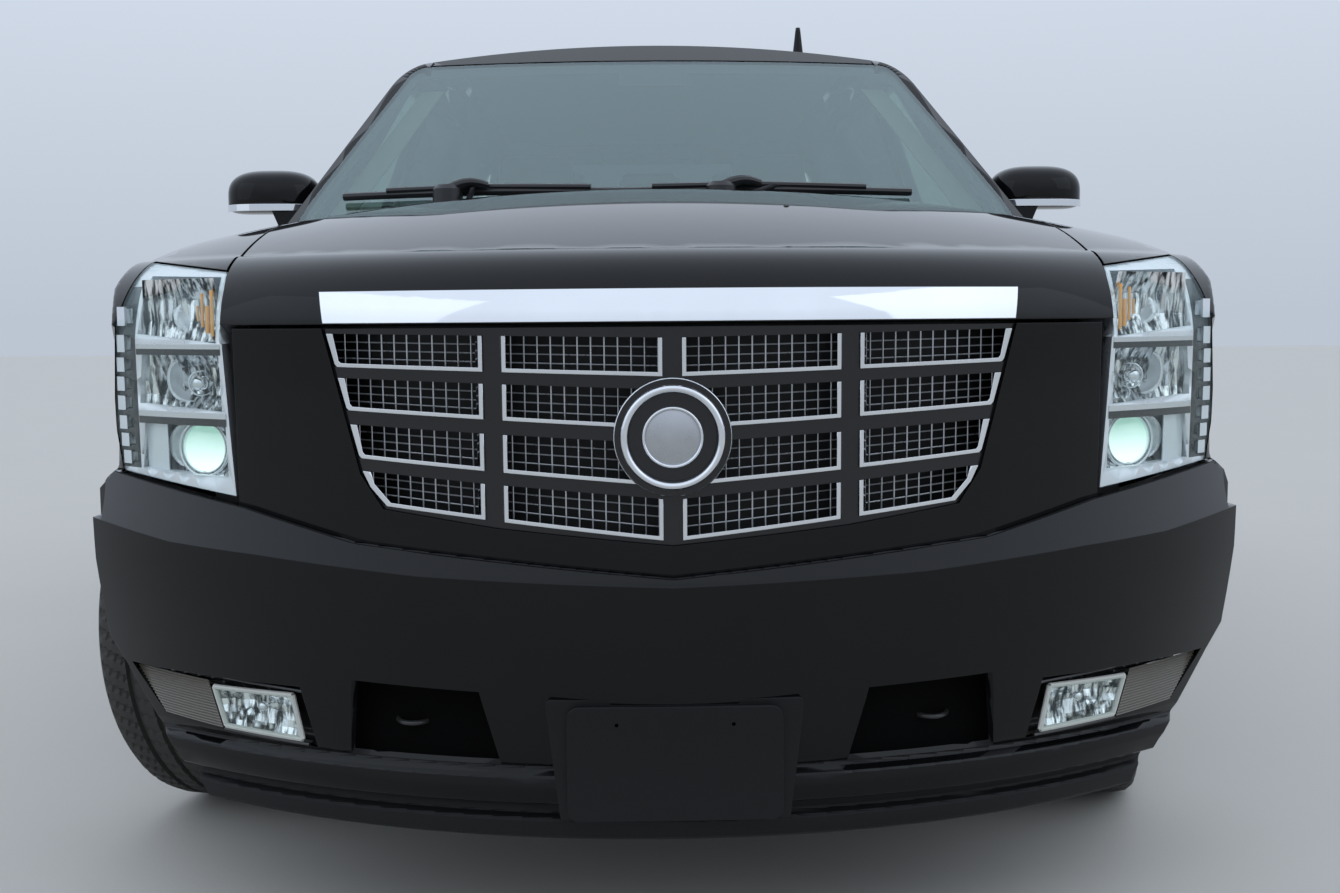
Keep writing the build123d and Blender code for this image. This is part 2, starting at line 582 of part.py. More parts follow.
LIP = 6.0
grille = (nose(5) - nose(42)) & front_cut(grown(grille_area, -SEAT_GAP))
lips = []
lip_form = nose(1) - nose(34)
for row in ROWS:
    for column in (0, 1):
        hole = front_cut(grille_window(row, column, 0))
        grille -= hole + flip(hole)
        inside = grille_window(row, column, LIP)
        inside[-1] = (inside[-1][0], inside[-1][1] + 30)
        inside[-2] = (inside[-2][0], inside[-2][1] + 30)
        lip = (hole - front_cut(inside)) & lip_form
        lips += [lip, flip(lip)]
EMBLEM_Z = 831.0
EMBLEM_R = 88.0
EMBLEM_Y = NOSE_Y - NOSE_R + 7
emblem = rod((0, EMBLEM_Y + 20, EMBLEM_Z), (0, EMBLEM_Y - 12, EMBLEM_Z), EMBLEM_R)
emblem -= rod((0, EMBLEM_Y - 6, EMBLEM_Z), (0, EMBLEM_Y - 20, EMBLEM_Z), EMBLEM_R - 16)
grille += emblem
lips = [lip - rod((0, EMBLEM_Y + 60, EMBLEM_Z), (0, EMBLEM_Y - 60, EMBLEM_Z), EMBLEM_R) for lip in lips]
save("grille", grille)
save("grille_trim", *lips)

# Front bumper: lower face and crease over a set-back ledge, with openings
TOW_HOLE = [(269, 321), (514, 321), (505, 447), (300, 440)]
FOG = [(572, 325), (867, 342), (932, 424), (595, 428)]


def under(line):
    """Everything below a front view line."""
    return front_cut([(-1020, 100), (1020, 100), *reversed(line), *[(-x, z) for x, z in line[1:]]], -2700, -1200)


step = ring_z(0, NOSE_Y, outline([(0, 150), (1398, 150), (1404, 470), (1400, 800), (0, 800)]))
step_in = ring_z(0, NOSE_Y, outline([(0, 150), (1330, 150), (1330, 250), (1372, 300), (1378, 470), (1374, 800),
                                     (0, 800)]))
TOW_DEPTH = 95.0
# From the air dam's foot up over its steps and the ledge to the crease
FACE = [(0, 196), (1352, 196), (1368, 204), (1371, 232), (1357, 240), (1361, 254), (1393, 264), (1400, 290),
        (1398, 306), (1382, 316), (1388, 332), (1408, 420), (1412, 470), (BUMPER_R, 600), (BUMPER_R, 720), (0, 720)]
face_form = ring_z(0, NOSE_Y, outline(FACE, [0, 0, 6, 6, 4, 4, 5, 10, 5, 5, 8, 60, 40, 10, 0, 0]))
bumper_solid = (face_form & under(CREASE)) + (step & under(JOIN) & block(-1100, 1100, -2700, -1200, 500, 800))
bumper_solid = bumper_solid & lower(0) - (step_in & lower(PANEL_T))
bumper_solid -= drum(FRONT_AXLE_Y, TYRE_R, ARCH_R, -1100, 1100) + block(-1100, 1100, FRONT_AXLE_Y, 0, 0, 900)
for sign in (-1, 1):
    foot = [(sign * x, z) for x, z in BUMPER_FOOT]
    corner = [(sign * 790, 100), (sign * 1100, 100), (sign * 1100, 480), *reversed(foot[:-1])]
    bumper_solid -= front_cut(corner)
    tow_hole = front_cut([(sign * x, z) for x, z in TOW_HOLE])
    tow_wall = front_cut([(sign * x, z) for x, z in grown(TOW_HOLE, 5)])
    tow_back = ring_z(0, NOSE_Y, outline([(0, 250), (1390 - TOW_DEPTH, 250), (1390 - TOW_DEPTH, 550), (0, 550)]))
    tow_floor = ring_z(0, NOSE_Y, outline([(0, 250), (1395 - TOW_DEPTH, 250), (1395 - TOW_DEPTH, 550), (0, 550)]))
    bumper_solid += ((step_in & tow_wall) - tow_back) + ((face_form & tow_wall) - step_in)
    bumper_solid -= tow_hole - tow_floor
    bumper_solid -= front_cut([(sign * x, z) for x, z in FOG])
PLATE_Z = 333.0
PLATE_PITCH = 177.8
plate_pad = along_y(outline([(-198, 431), (-176, 246), (176, 246), (198, 431)], 8), -2546, -2480)
plate_pad += along_y(outline([(-165, 246), (165, 246), (165, 421), (-165, 421)], 18), -2556, -2500)
bumper_solid += plate_pad - step_in
for x in (-PLATE_PITCH / 2, PLATE_PITCH / 2):
    bumper_solid -= rod((x, -2600, PLATE_Z + 62), (x, -2500, PLATE_Z + 62), 3.0)
save("front_bumper", bumper_solid)

# Fog lamps in their housings
fog_form = ring_z(0, NOSE_Y, outline([(0, 150), (1340, 150), (1396, 330), (1400, 470), (0, 600)]))
fog_back = ring_z(0, NOSE_Y, outline([(0, 100), (1310, 100), (1330, 700), (0, 700)]))
fog = (fog_form - fog_back) & front_cut(grown(FOG, -SEAT_GAP)) & lower(10)
fog_y = NOSE_Y - math.sqrt(1392 ** 2 - 690 ** 2)
fog -= rod((672, fog_y - 80, 380), (672, fog_y + 24, 380), 40)
fog += Pos(672, fog_y + 34, 380) * Sphere(30) & fog_form - fog_back
for i in range(4):
    z = 352 + i * 18
    fog -= block(760, 880, -2600, -2000, z, z + 8) & (fog_form - ring_z(0, NOSE_Y, outline([(0, 100), (1380, 100),
                                                                                           (1384, 600), (0, 600)])))
save("fog_lamps", fog, flip(fog))


# Cowl below the windscreen, with the wipers on it
COWL_HALF = 760.0
cowl = (nose(COWL_IN) - nose(COWL_IN + 14)) & block(-COWL_HALF, COWL_HALF, -1269, -1000, 1100, 1300)
cowl -= screen(-SEAT_GAP)
cowl += block(-700, 700, -1110, -1096, 1130, 1240) & nose(COWL_IN + 10) - screen(-SEAT_GAP)
save("cowl", cowl)
WIPERS = (
    # pivot x, blade's outer end x
    (-455.0, -120.0, -770.0),
    (150.0, 620.0, -60.0),
)
wipers = []


def on_screen(x, up, off):
    """A point on the windscreen at x, a distance up its slope and off its face."""
    slope = math.radians(SCREEN_SLOPE)
    y = SCREEN_BASE[0] + SCREEN_PLAN_R - math.sqrt(SCREEN_PLAN_R ** 2 - x ** 2) + up * math.cos(slope)
    return (x, y - off * math.sin(slope), SCREEN_BASE[1] + up * math.sin(slope) + off * math.cos(slope))


for pivot_x, right_x, left_x in WIPERS:
    knee = on_screen(pivot_x, 10, 22)
    spindle = (pivot_x, knee[1] - 55)
    hub = rod((*spindle, 1180), (*spindle, knee[2] - 22), 10)
    hub += rod((*spindle, knee[2] - 26), knee, 9)
    mid = on_screen((right_x + left_x) / 2, 95, 22)
    blade = rod(on_screen(left_x, 85, 16), mid, 6) + rod(mid, on_screen(right_x, 85, 16), 6)
    wipers.append(hub + rod(knee, mid, 7) + blade - nose(COWL_IN - SEAT_GAP))
save("wipers", *wipers)

# Rear bumper wraps the tail below the gate
rear_side = [(1850, 330), (2470, 330), (2545, 440), (2566, 540), (LENGTH / 2, 600), (LENGTH / 2, 650),
             (2540, REAR_BUMPER_TOP), (1850, REAR_BUMPER_TOP)]


def rear_plan(inset):
    y0 = LENGTH / 2 - inset
    wide = HALF_W - inset
    return along_z(outline([(-wide, 1000), (wide, 1000), (wide, y0 - 190), (wide - 160, y0 - 55), (0, y0),
                            (160 - wide, y0 - 55), (-wide, y0 - 190)], [0, 0, 160, 160, 3000, 160, 160]), 200, 900)


rear_bumper = along_x(outline(rear_side), -1100, 1100) & rear_plan(0) & lower(0)
BUMPER_TOP_T = 24.0
core_top = REAR_BUMPER_TOP - BUMPER_TOP_T
rear_core = along_x(outline([(1000, 200), (2440, 200), (2535, 540), (2540, core_top - 24), (2520, core_top),
                             (1000, core_top)]), -1100, 1100)
rear_core += block(-800, 800, 1000, 2310, 200, 900)
rear_bumper -= rear_core & rear_plan(PANEL_T) & lower(PANEL_T)
rear_bumper -= drum(REAR_AXLE_Y, TYRE_R, ARCH_R, -1100, 1100)
save("rear_bumper", rear_bumper)

# Ladder frame: two rails that follow the body, and crossmembers
RAIL_W = 80.0
RAIL_H = 120.0
RAIL_PLAN = [(-2300, 390), (-1050, 390), (-800, 500), (850, 500), (1080, 470), (2330, 470)]
RAIL_SIDE = [(-2300, 500), (-1100, 500), (-850, 470), (910, 470), (1110, 620), (1700, 620), (1900, 520),
             (2330, 520)]


def band(points, width):
    upper_edge = [(a, b + width / 2) for a, b in points]
    lower_edge = [(a, b - width / 2) for a, b in reversed(points)]
    return outline(upper_edge + lower_edge)


rail_plan = along_z(band([(y, x) for y, x in RAIL_PLAN], RAIL_W).rotate(Axis.Z, 90).mirror(Plane.YZ), 200, 900)
rail_side = along_x(band(RAIL_SIDE, RAIL_H), 200, 700)
rail_left = rail_side & rail_plan
CROSS = (
    # y, bottom, top, half length
    (-2285, 450, 520, 390),
    (-1800, 380, 440, 390),
    (-1340, 380, 440, 390),
    (-420, 410, 440, 500),
    (560, 400, 424, 500),
    (1060, 625, 665, 470),
    (1760, 590, 640, 470),
    (2320, 470, 560, 470),
)
frame = rail_left + flip(rail_left)
for y, z0, z1, half in CROSS:
    frame += block(-half, half, y - 40, y + 40, z0, z1)
for y in (-1800, -1340):
    for sign in (-1, 1):
        frame += block(*sorted((sign * 350, sign * 430)), y - 40, y + 40, 380, 500)
# Brackets for the suspension arms and body mounts
ARM_REACH_Y = 200.0
LOW_ARM_Z = TYRE_R - 183
HIGH_ARM_Z = TYRE_R + 183
for sign in (-1, 1):
    for dy in (-ARM_REACH_Y, ARM_REACH_Y):
        y = FRONT_AXLE_Y + dy
        x0, x1 = sorted((sign * 370, sign * 429.7))
        frame += block(x0, x1, y - 35, y + 35, LOW_ARM_Z - 26, 500)
        frame += block(x0, x1, y - 35, y + 35, 500, HIGH_ARM_Z + 26)
    frame += block(*sorted((sign * 400, sign * 600)), FRONT_AXLE_Y - 60, FRONT_AXLE_Y + 60, 720, 740)
    frame += block(*sorted((sign * 400, sign * 425)), FRONT_AXLE_Y - 60, FRONT_AXLE_Y + 60, 540, 740)
FLOOR_Z = 600.0
MOUNTS = ((-900, 455, 600), (-200, 500, 600), (700, 500, 600), (2200, 470, 700))
for y, x, top in MOUNTS:
    for sign in (-1, 1):
        frame += rod((sign * x, y, 500), (sign * x, y, top - SEAT_GAP), 38)
# Hitch receiver under the rear bumper, with its cross pin hole
RECEIVER = 50.8
receiver_wall = 6.35
outer = RECEIVER / 2 + receiver_wall
HITCH_Z = 290.0
HITCH_PIN = (2490.0, HITCH_Z)
frame += block(-60, 60, 2290, 2350, HITCH_Z - outer, 480)
frame += block(-outer, outer, 2290, 2545, HITCH_Z - outer, HITCH_Z + outer)
frame -= block(-RECEIVER / 2, RECEIVER / 2, 2360, 2700, HITCH_Z - RECEIVER / 2, HITCH_Z + RECEIVER / 2)
frame -= drum(*HITCH_PIN, 8.0, -60, 60)
# Bumper horns
for sign in (-1, 1):
    frame += block(*sorted((sign * 350, sign * 430)), -2440, -2300, 470, 530) & step_in
    frame += block(*sorted((sign * 430, sign * 510)), 2330, 2548, 480, 560) & rear_core & rear_plan(PANEL_T)
# Steering rack housing on the rear engine crossmember
STEER_ARM = 135.0
RACK_Y = FRONT_AXLE_Y + STEER_ARM
RACK_Z = TYRE_R - 93
RACK_R = 12.0
frame += drum(RACK_Y, RACK_Z, 26, -210, 210)
for sign in (-1, 1):
    frame += block(*sorted((sign * 150, sign * 190)), RACK_Y, -1300, RACK_Z - 10, 400)
frame -= drum(RACK_Y, RACK_Z, RACK_R + PIN_PLAY, -300, 300)
frame -= block(-140, 140, -1700.3, -1419.7, 339.7, 470)
save("ladder_frame", frame)

# Floor, bulkhead and rear wheel housings
FLOOR_T = 22.0
cabin_side = lower(PILLAR_IN + 60 + SEAT_GAP)
REAR_FLOOR_Z = 700.0
STEP_Y = 1000.0
floor = block(-900, 900, -1060, STEP_Y, FLOOR_Z, FLOOR_Z + FLOOR_T)
floor += block(-900, 900, STEP_Y - FLOOR_T, STEP_Y, FLOOR_Z, REAR_FLOOR_Z + FLOOR_T)
floor += block(-900, 900, STEP_Y - FLOOR_T, 2360, REAR_FLOOR_Z, REAR_FLOOR_Z + FLOOR_T)
floor += block(-900, 900, -1060, -1036, FLOOR_Z, 1160)
TUNNEL_X = 190.0
TUNNEL_TOP = 760.0
floor += block(-TUNNEL_X - FLOOR_T, TUNNEL_X + FLOOR_T, -1060, 100, FLOOR_Z, TUNNEL_TOP + FLOOR_T)
floor -= block(-TUNNEL_X, TUNNEL_X, -1100, 78, FLOOR_Z - 10, TUNNEL_TOP)
for sign in (-1, 1):
    x0, x1 = sorted((sign * 620, sign * 900))
    floor += drum(REAR_AXLE_Y, TYRE_R, ARCH_R + 12, x0, x1)
floor &= cabin_side & tail(66) & block(-1000, 1000, -1100, 2360, FLOOR_Z - 200, 1200)
for sign in (-1, 1):
    x0, x1 = sorted((sign * 632, sign * 1000))
    floor -= drum(REAR_AXLE_Y, TYRE_R, ARCH_R, x0, x1)
    floor -= block(*sorted((sign * 560, sign * 632)), 600, 2300, 0, FLOOR_Z)
below = block(-619, 619, 0, 3000, 0, REAR_FLOOR_Z) + block(-1000, 1000, 1880, 3000, 0, REAR_FLOOR_Z)
floor -= below & block(-1000, 1000, STEP_Y, 2400, 0, REAR_FLOOR_Z)
save("floor_pan", floor)

# Inner wings and radiator support
inner_wing_form = nose(PANEL_T + SEAT_GAP) & lower(PANEL_T + SEAT_GAP, z1=1300)
front_end = block(-700, 700, -2290, -2240, 950, 990) + block(-700, 700, -2290, -2240, 560.3, 600)
for sign in (-1, 1):
    front_end += block(*sorted((sign * 640, sign * 700)), -2290, -1060.3, 930, 990)
    front_end += block(*sorted((sign * 640, sign * 760)), -2290, -2240, 560.3, 990) & nose(PANEL_T + 6)
    front_end += block(*sorted((sign * 684, sign * 700)), -2100, -1270, 900, 1250) & nose(PANEL_T + 14)
    shelf = block(*sorted((sign * 690, sign * 940)), -1880, -1270, 1100, 1114)
    shelf += block(*sorted((sign * 834, sign * 940)), -1280, -1092, 1100, 1114)
    shelf += block(*sorted((sign * 834, sign * 848)), -1880, -1092, 1100, 1250)
    front_end += shelf & inner_wing_form
    # Bracket with the hood hinge's bore
    x0, x1 = sorted((sign * (ARM_OUT_X + 5), sign * (PIN_END_X - 1)))
    front_end += block(x0, x1, hood_axis_y - 13, hood_axis_y + 13, 1150, hood_axis_z)
    front_end += drum(hood_axis_y, hood_axis_z, 12, x0, x1)
    front_end += block(*sorted((x0, sign * 842)), hood_axis_y - 13, hood_axis_y + 13, 1150, 1185)
    front_end -= drum(hood_axis_y, hood_axis_z, PIN_R + PIN_PLAY, x0 - 1, x1 + 1)
    lamp_side = front_cut([(sign * x, z) for x, z in grown(LAMP, -3 + SEAT_GAP)])
    front_end -= lamp_side
save("front_structure", front_end)
save("radiator", block(-430, 430, -2240 + SEAT_GAP, -2180, 600.3, 949.7))

# Front wheel housings
liner = drum(FRONT_AXLE_Y, TYRE_R, ARCH_R + 11, 505, 1000) - drum(FRONT_AXLE_Y, TYRE_R, ARCH_R + 3, 400, 1100)
liner &= lower(PANEL_T + SEAT_GAP) & nose(PANEL_T + SEAT_GAP) & block(500, 1000, -2045, -1090, 440, 900)
liner &= block(0, 1100, -1990, 0, 0, 1000)
liner -= front_cut(grown(LAMP, SEAT_GAP))
save("arch_liners", liner, flip(liner))

# Engine with its gearbox: plain masses
engine = block(-290, 290, -2080, -1380, 470, 960)
engine += block(-150, 150, -1380, -460, 440.3, 700)
save("engine", engine)


def pipe(points, radii, radius):
    path = FilletPolyline(*points, radius=radii)
    start = path @ 0
    return sweep(Plane(origin=start, z_dir=path % 0) * Circle(radius), path=path)


# Prop shaft, front differential and half shafts
SHAFT_R = 38.0
DIFF_Z = TYRE_R + 20
driveline = rod((0, -455, 520), (0, REAR_AXLE_Y - 160, DIFF_Z + 10), SHAFT_R)
save("driveline", driveline)
front_diff = block(-130, 130, -1700, -1420, 340, 469.7)
front_diff += rod((-640, FRONT_AXLE_Y, TYRE_R), (640, FRONT_AXLE_Y, TYRE_R), 18)
for sign in (-1, 1):
    front_diff += rod((sign * 570, FRONT_AXLE_Y, TYRE_R), (sign * 640, FRONT_AXLE_Y, TYRE_R), 42)
save("front_differential", front_diff)

# Rear axle with its housing, coil springs and links
axle = rod((-745, REAR_AXLE_Y, TYRE_R), (745, REAR_AXLE_Y, TYRE_R), 44)
for sign in (-1, 1):
    axle -= rod((sign * 680, REAR_AXLE_Y, TYRE_R), (sign * 760, REAR_AXLE_Y, TYRE_R), 25 + PIN_PLAY)
    grip = block(*sorted((sign * 803, sign * 883)), REAR_AXLE_Y - 186, REAR_AXLE_Y - 108, TYRE_R - 72, TYRE_R + 72)
    grip += block(*sorted((sign * 700, sign * 824)), REAR_AXLE_Y - 186, REAR_AXLE_Y - 34, TYRE_R - 26, TYRE_R + 26)
    axle += grip - drum(REAR_AXLE_Y, TYRE_R, 169, *sorted((sign * 826, sign * 864)))
axle += Pos(0, REAR_AXLE_Y, DIFF_Z - 20) * Sphere(150)
axle += rod((0, REAR_AXLE_Y - 159.7, DIFF_Z), (0, REAR_AXLE_Y, DIFF_Z - 10), 60)
for sign in (-1, 1):
    axle += rod((sign * 470, REAR_AXLE_Y + 10, TYRE_R + 20), (sign * 470, REAR_AXLE_Y + 10, 559.7), 55)
    axle += rod((sign * 580, REAR_AXLE_Y - 20, TYRE_R - 20), (sign * 580, 820, TYRE_R + 40), 22)
    axle += block(*sorted((sign * 540.3, sign * 600)), 790, 850, 430, 500)
save("rear_axle", axle)

# Exhaust and fuel tank
exhaust = block(-430, -190, 120, 900, 445, 580)
exhaust += pipe([(-240, -1200, 420), (-240, -1000, 420), (-300, -600, 500), (-300, 200, 500)], [60, 60], 30)
exhaust += pipe([(-300, 800, 520), (-300, 1000, 530), (-300, 1180, 610), (-300, 1500, 640), (-300, 1800, 430),
                 (-620, 2150, 400), (-640, 2470, 400)], [80, 80, 80, 100, 120], 30)
for y in (200, 780):
    exhaust += block(-460 + SEAT_GAP, -420, y, y + 40, 480, 520)
save("exhaust", exhaust)
tank = block(110, 425, 30, 1010, 441, 590)
tank = fillet(tank.edges().filter_by(Axis.Y), 30)
for y in (150, 750):
    tank += block(400, 460 - SEAT_GAP, y, y + 50, 490, 530)
save("fuel_tank", tank)

# Running boards under the sills
board = block(870, 1000, -1040, 850, 262, SILL_Z - SEAT_GAP)
board = fillet(board.edges().filter_by(Axis.Y).group_by(Axis.X)[-1], 14)
save("running_boards", board, flip(board))

# Dashboard with the column, seats
DASH_X = 840.0
COLUMN_LEAN = 25.0
WHEEL_HUB = (380.0, -560.0, 1075.0)
lean = math.radians(COLUMN_LEAN)
column_dir = (0.0, math.cos(lean), math.sin(lean))
DASH_SIDE = [(-1035.7, 760), (-900, 760), (-860, 900), (-740, 940), (-700, 1060), (-760, 1150), (-1035.7, 1185)]
dash = along_x(outline(DASH_SIDE, [0, 20, 20, 30, 30, 40, 0]), -DASH_X, DASH_X)
dash &= lower(PILLAR_IN + 62, z1=1300) & screen(30)
column_end = [WHEEL_HUB[i] - column_dir[i] * 60 for i in range(3)]
column_start = [WHEEL_HUB[i] - column_dir[i] * 260 for i in range(3)]
dash += rod(column_start, column_end, 34)
shaft_bore = rod([WHEEL_HUB[i] - column_dir[i] * 140 for i in range(3)], WHEEL_HUB, 12 + PIN_PLAY)
dash -= shaft_bore
dash += block(-120, 120, -880, 60, TUNNEL_TOP + FLOOR_T + SEAT_GAP, 960)
save("dashboard", dash)
wheel_plane = Plane(origin=WHEEL_HUB, x_dir=(1, 0, 0), z_dir=column_dir)
steering = wheel_plane * (Torus(185, 15) + Pos(0, 0, -14) * Cylinder(62, 26))
for angle in (0, 180, 270):
    steering += wheel_plane * Rot(0, 0, angle) * Pos(115, 0, -4) * Box(130, 26, 12)
steering += rod([WHEEL_HUB[i] - column_dir[i] * 135 for i in range(3)], WHEEL_HUB, 12)
save("steering_wheel", steering)

SEAT_SIDE = [(0, 0), (0, 95), (40, 220), (380, 210), (500, 200), (590, 420), (690, 770), (740, 790), (800, 780),
             (760, 560), (640, 170), (600, 0)]
SEAT_ROUND = [0, 40, 60, 30, 40, 0, 30, 20, 30, 0, 40, 0]
SEATS = (
    # x0, x1, front y, floor z
    (130, 640, -420, FLOOR_Z + FLOOR_T),
    (-640, -130, -420, FLOOR_Z + FLOOR_T),
    (-610, 610, 350, FLOOR_Z + FLOOR_T),
    (-600, 600, 1290, REAR_FLOOR_Z + FLOOR_T),
)
seats = []
tunnel_half = TUNNEL_X + FLOOR_T + SEAT_GAP
for x0, x1, y0, z0 in SEATS:
    side_face = outline([(y0 + y, z0 + SEAT_GAP + z) for y, z in SEAT_SIDE], SEAT_ROUND)
    seat = along_x(side_face, x0, x1)
    count = max(1, round((x1 - x0) / 460))
    pitch = (x1 - x0) / count
    for i in range(count):
        x = x0 + pitch * (i + 0.5)
        rest = along_x(outline([(y0 + 700, z0 + 775), (y0 + 810, z0 + 770), (y0 + 830, z0 + 930), (y0 + 740, z0 + 935)],
                               [0, 0, 30, 30]), x - 130, x + 130)
        seat += rest
    seat -= block(-tunnel_half, tunnel_half, -1100, 100 + SEAT_GAP, FLOOR_Z, TUNNEL_TOP + FLOOR_T + SEAT_GAP)
    seats.append(seat)
save("seats", *seats)

# Mirrors on the front doors
MIRROR_Y = -820.0
MIRROR_BOX = (872.0, 1110.0, 1283.0, 1397.0)
mx0, mx1, mz0, mz1 = MIRROR_BOX
mirror_plan = [(mx0, MIRROR_Y - 46), (mx1, MIRROR_Y - 16), (mx1, MIRROR_Y + 60), (mx0 + 14, MIRROR_Y + 60)]
door_mirror = along_z(outline(mirror_plan, [48, 44, 12, 12]), mz0, mz1)
door_mirror &= along_y(outline([(mx0, mz0), (mx1, mz0), (mx1, mz1), (mx0, mz1)], [14, 24, 50, 40]), -1000, -600)
door_mirror -= block(mx0 + 46, mx1 - 12, MIRROR_Y + 45, MIRROR_Y + 80, mz0 + 12, mz1 - 14)
door_mirror += along_y(outline([(860, 1180), (940, 1180), (985, 1286), (915, 1286)]), MIRROR_Y - 22, MIRROR_Y + 36)
door_mirror -= upper(-SEAT_GAP) + lower(-SEAT_GAP)
save("mirror_left", door_mirror)
save("mirror_right", flip(door_mirror))

# Front suspension arms and struts
KING_R = 10.0
ARM_T = 24.0
BOSS_HALF = 17.0
STRUT = (500.0, 62.0, 36.0)
ARM_OUTER = [(430, 225), (620, 60), (830, 28)]
LOW_NOTCH = [(440, 120)]
HIGH_NOTCH = [(430, 175), (560, 40)]
suspension = []
for sign in (-1, 1):
    for z, notch in ((LOW_ARM_Z, LOW_NOTCH), (HIGH_ARM_Z, HIGH_NOTCH)):
        half = [*ARM_OUTER, *[(x, -y) for x, y in reversed(ARM_OUTER)]]
        half += [*[(x, -y) for x, y in notch], *reversed(notch)]
        arm = along_z(outline([(sign * x, FRONT_AXLE_Y + y) for x, y in half]), z - ARM_T / 2, z + ARM_T / 2)
        king = (sign * KINGPIN_X, FRONT_AXLE_Y)
        arm += rod((*king, z - BOSS_HALF), (*king, z + BOSS_HALF), 28)
        arm -= rod((*king, z - 40), (*king, z + 40), KING_R + PIN_PLAY)
        if z == LOW_ARM_Z:
            foot = (sign * STRUT[0], FRONT_AXLE_Y + STRUT[1])
            arm += rod((*foot, z), (*foot, 719.7), STRUT[2])
        suspension.append(arm)
save("front_suspension", *suspension)

# Wheels, drawn about the origin with the outer face towards +X
BEAD_R = 284.0
HUB_R = 25.0
DISC_R = 165.0
half_w = TYRE_W / 2
bead = 112.0


def turned(points):
    """Revolve an (r, x) outline about the X axis."""
    return revolve(Plane.XY * outline([(x, r) for r, x in points]), axis=Axis.X)


tyre_half = [(BEAD_R, bead), (297, bead), (300, bead + 12), (345, half_w - 2), (370, half_w), (390, half_w - 6),
             (402, 122), (TYRE_R, 100)]
tyre = turned([*tyre_half, *[(r, -x) for r, x in reversed(tyre_half)]])
rim_shape = [(262, 96), (272, 119), (296, 119), (296, bead + SEAT_GAP), (BEAD_R - SEAT_GAP, bead + SEAT_GAP),
             (BEAD_R - SEAT_GAP, -bead - SEAT_GAP), (296, -bead - SEAT_GAP), (296, -119), (268, -119), (268, 46),
             (262, 58)]
rim = turned(rim_shape)
spoke = along_x(outline([(-30, 60), (30, 60), (40, 200), (62, 270), (-62, 270), (-40, 200)]), 40, 125)
spoke &= along_y(outline([(58, 40), (104, 40), (104, 90), (98, 180), (112, 268), (62, 268), (60, 180)]), -200, 200)
for i in range(SPOKES):
    rim += spoke.rotate(Axis.X, 360 * i / SPOKES)
rim += drum(0, 0, 82, 40, 98) + drum(0, 0, 40, 90, 108)
LUGS = 6
for i in range(LUGS):
    a = 2 * math.pi * i / LUGS
    rim -= drum(60 * math.cos(a), 60 * math.sin(a), 12, 84, 130)
rim += drum(0, 0, DISC_R, -20, 8) + drum(0, 0, 76, 8, 42)


def wheel(reach):
    """A rim with its disc and a stub shaft that reaches inboard."""
    return rim + drum(0, 0, HUB_R, -reach, -18)


def placed(shape, x, y, turn):
    return Pos(x, y, TYRE_R) * Rot(0, 0, turn) * shape


# Knuckles: hub carrier, kingpins, brake caliper and steering arm
scrub = FRONT_TRACK / 2 - KINGPIN_X
PIN_Z = HIGH_ARM_Z - TYRE_R - BOSS_HALF - 1
knuckle = drum(0, 0, 60, -105, -35)
knuckle += rod((-scrub, 0, -PIN_Z), (-scrub, 0, PIN_Z), 28)
knuckle += rod((-scrub, 0, -PIN_Z - 35), (-scrub, 0, PIN_Z + 35), KING_R)
caliper = block(-48, 32, -186, -108, -72, 72) - block(-25, 13, -400, 400, -400, 400)
caliper += block(-60, -27, -186, -40, -30, 30) + block(-48, 32, -186, -170, -72, 72)
caliper -= drum(0, 0, DISC_R + 4, -25, 13)
knuckle += caliper
knuckle += block(-scrub - 10, -scrub + 10, 20, STEER_ARM, -75, -55)
knuckle += rod((-scrub, STEER_ARM, -75), (-scrub, STEER_ARM, -55), 18)
knuckle -= drum(0, 0, HUB_R + PIN_PLAY, -200, 0)

rest = math.radians(REST_STEER)
for side_name, sign in (("left", 1), ("right", -1)):
    wx = sign * (KINGPIN_X + scrub * math.cos(rest))
    wy = FRONT_AXLE_Y + sign * scrub * math.sin(rest)
    for body, shape in (("tyre", tyre), ("rim", wheel(104)), ("knuckle", knuckle)):
        piece = shape if sign == 1 else flip(shape)
        label = f"{body}_{side_name}" if body == "knuckle" else f"{body}_front_{side_name}"
        save(label, placed(piece, wx, wy, REST_STEER))
    for body, shape in (("tyre", tyre), ("rim", wheel(165))):
        piece = shape if sign == 1 else flip(shape)
        save(f"{body}_rear_{side_name}", placed(piece, sign * REAR_TRACK / 2, REAR_AXLE_Y, 0))

# Steering rack with its tie rods
rack_shift = -STEER_ARM * math.sin(rest)
rack = drum(RACK_Y, RACK_Z, RACK_R, rack_shift - KINGPIN_X - 12, rack_shift + KINGPIN_X + 12)
save("steering_rack", rack)
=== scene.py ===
import json
import math

import bmesh
import bpy
import numpy as np
from mathutils import Matrix


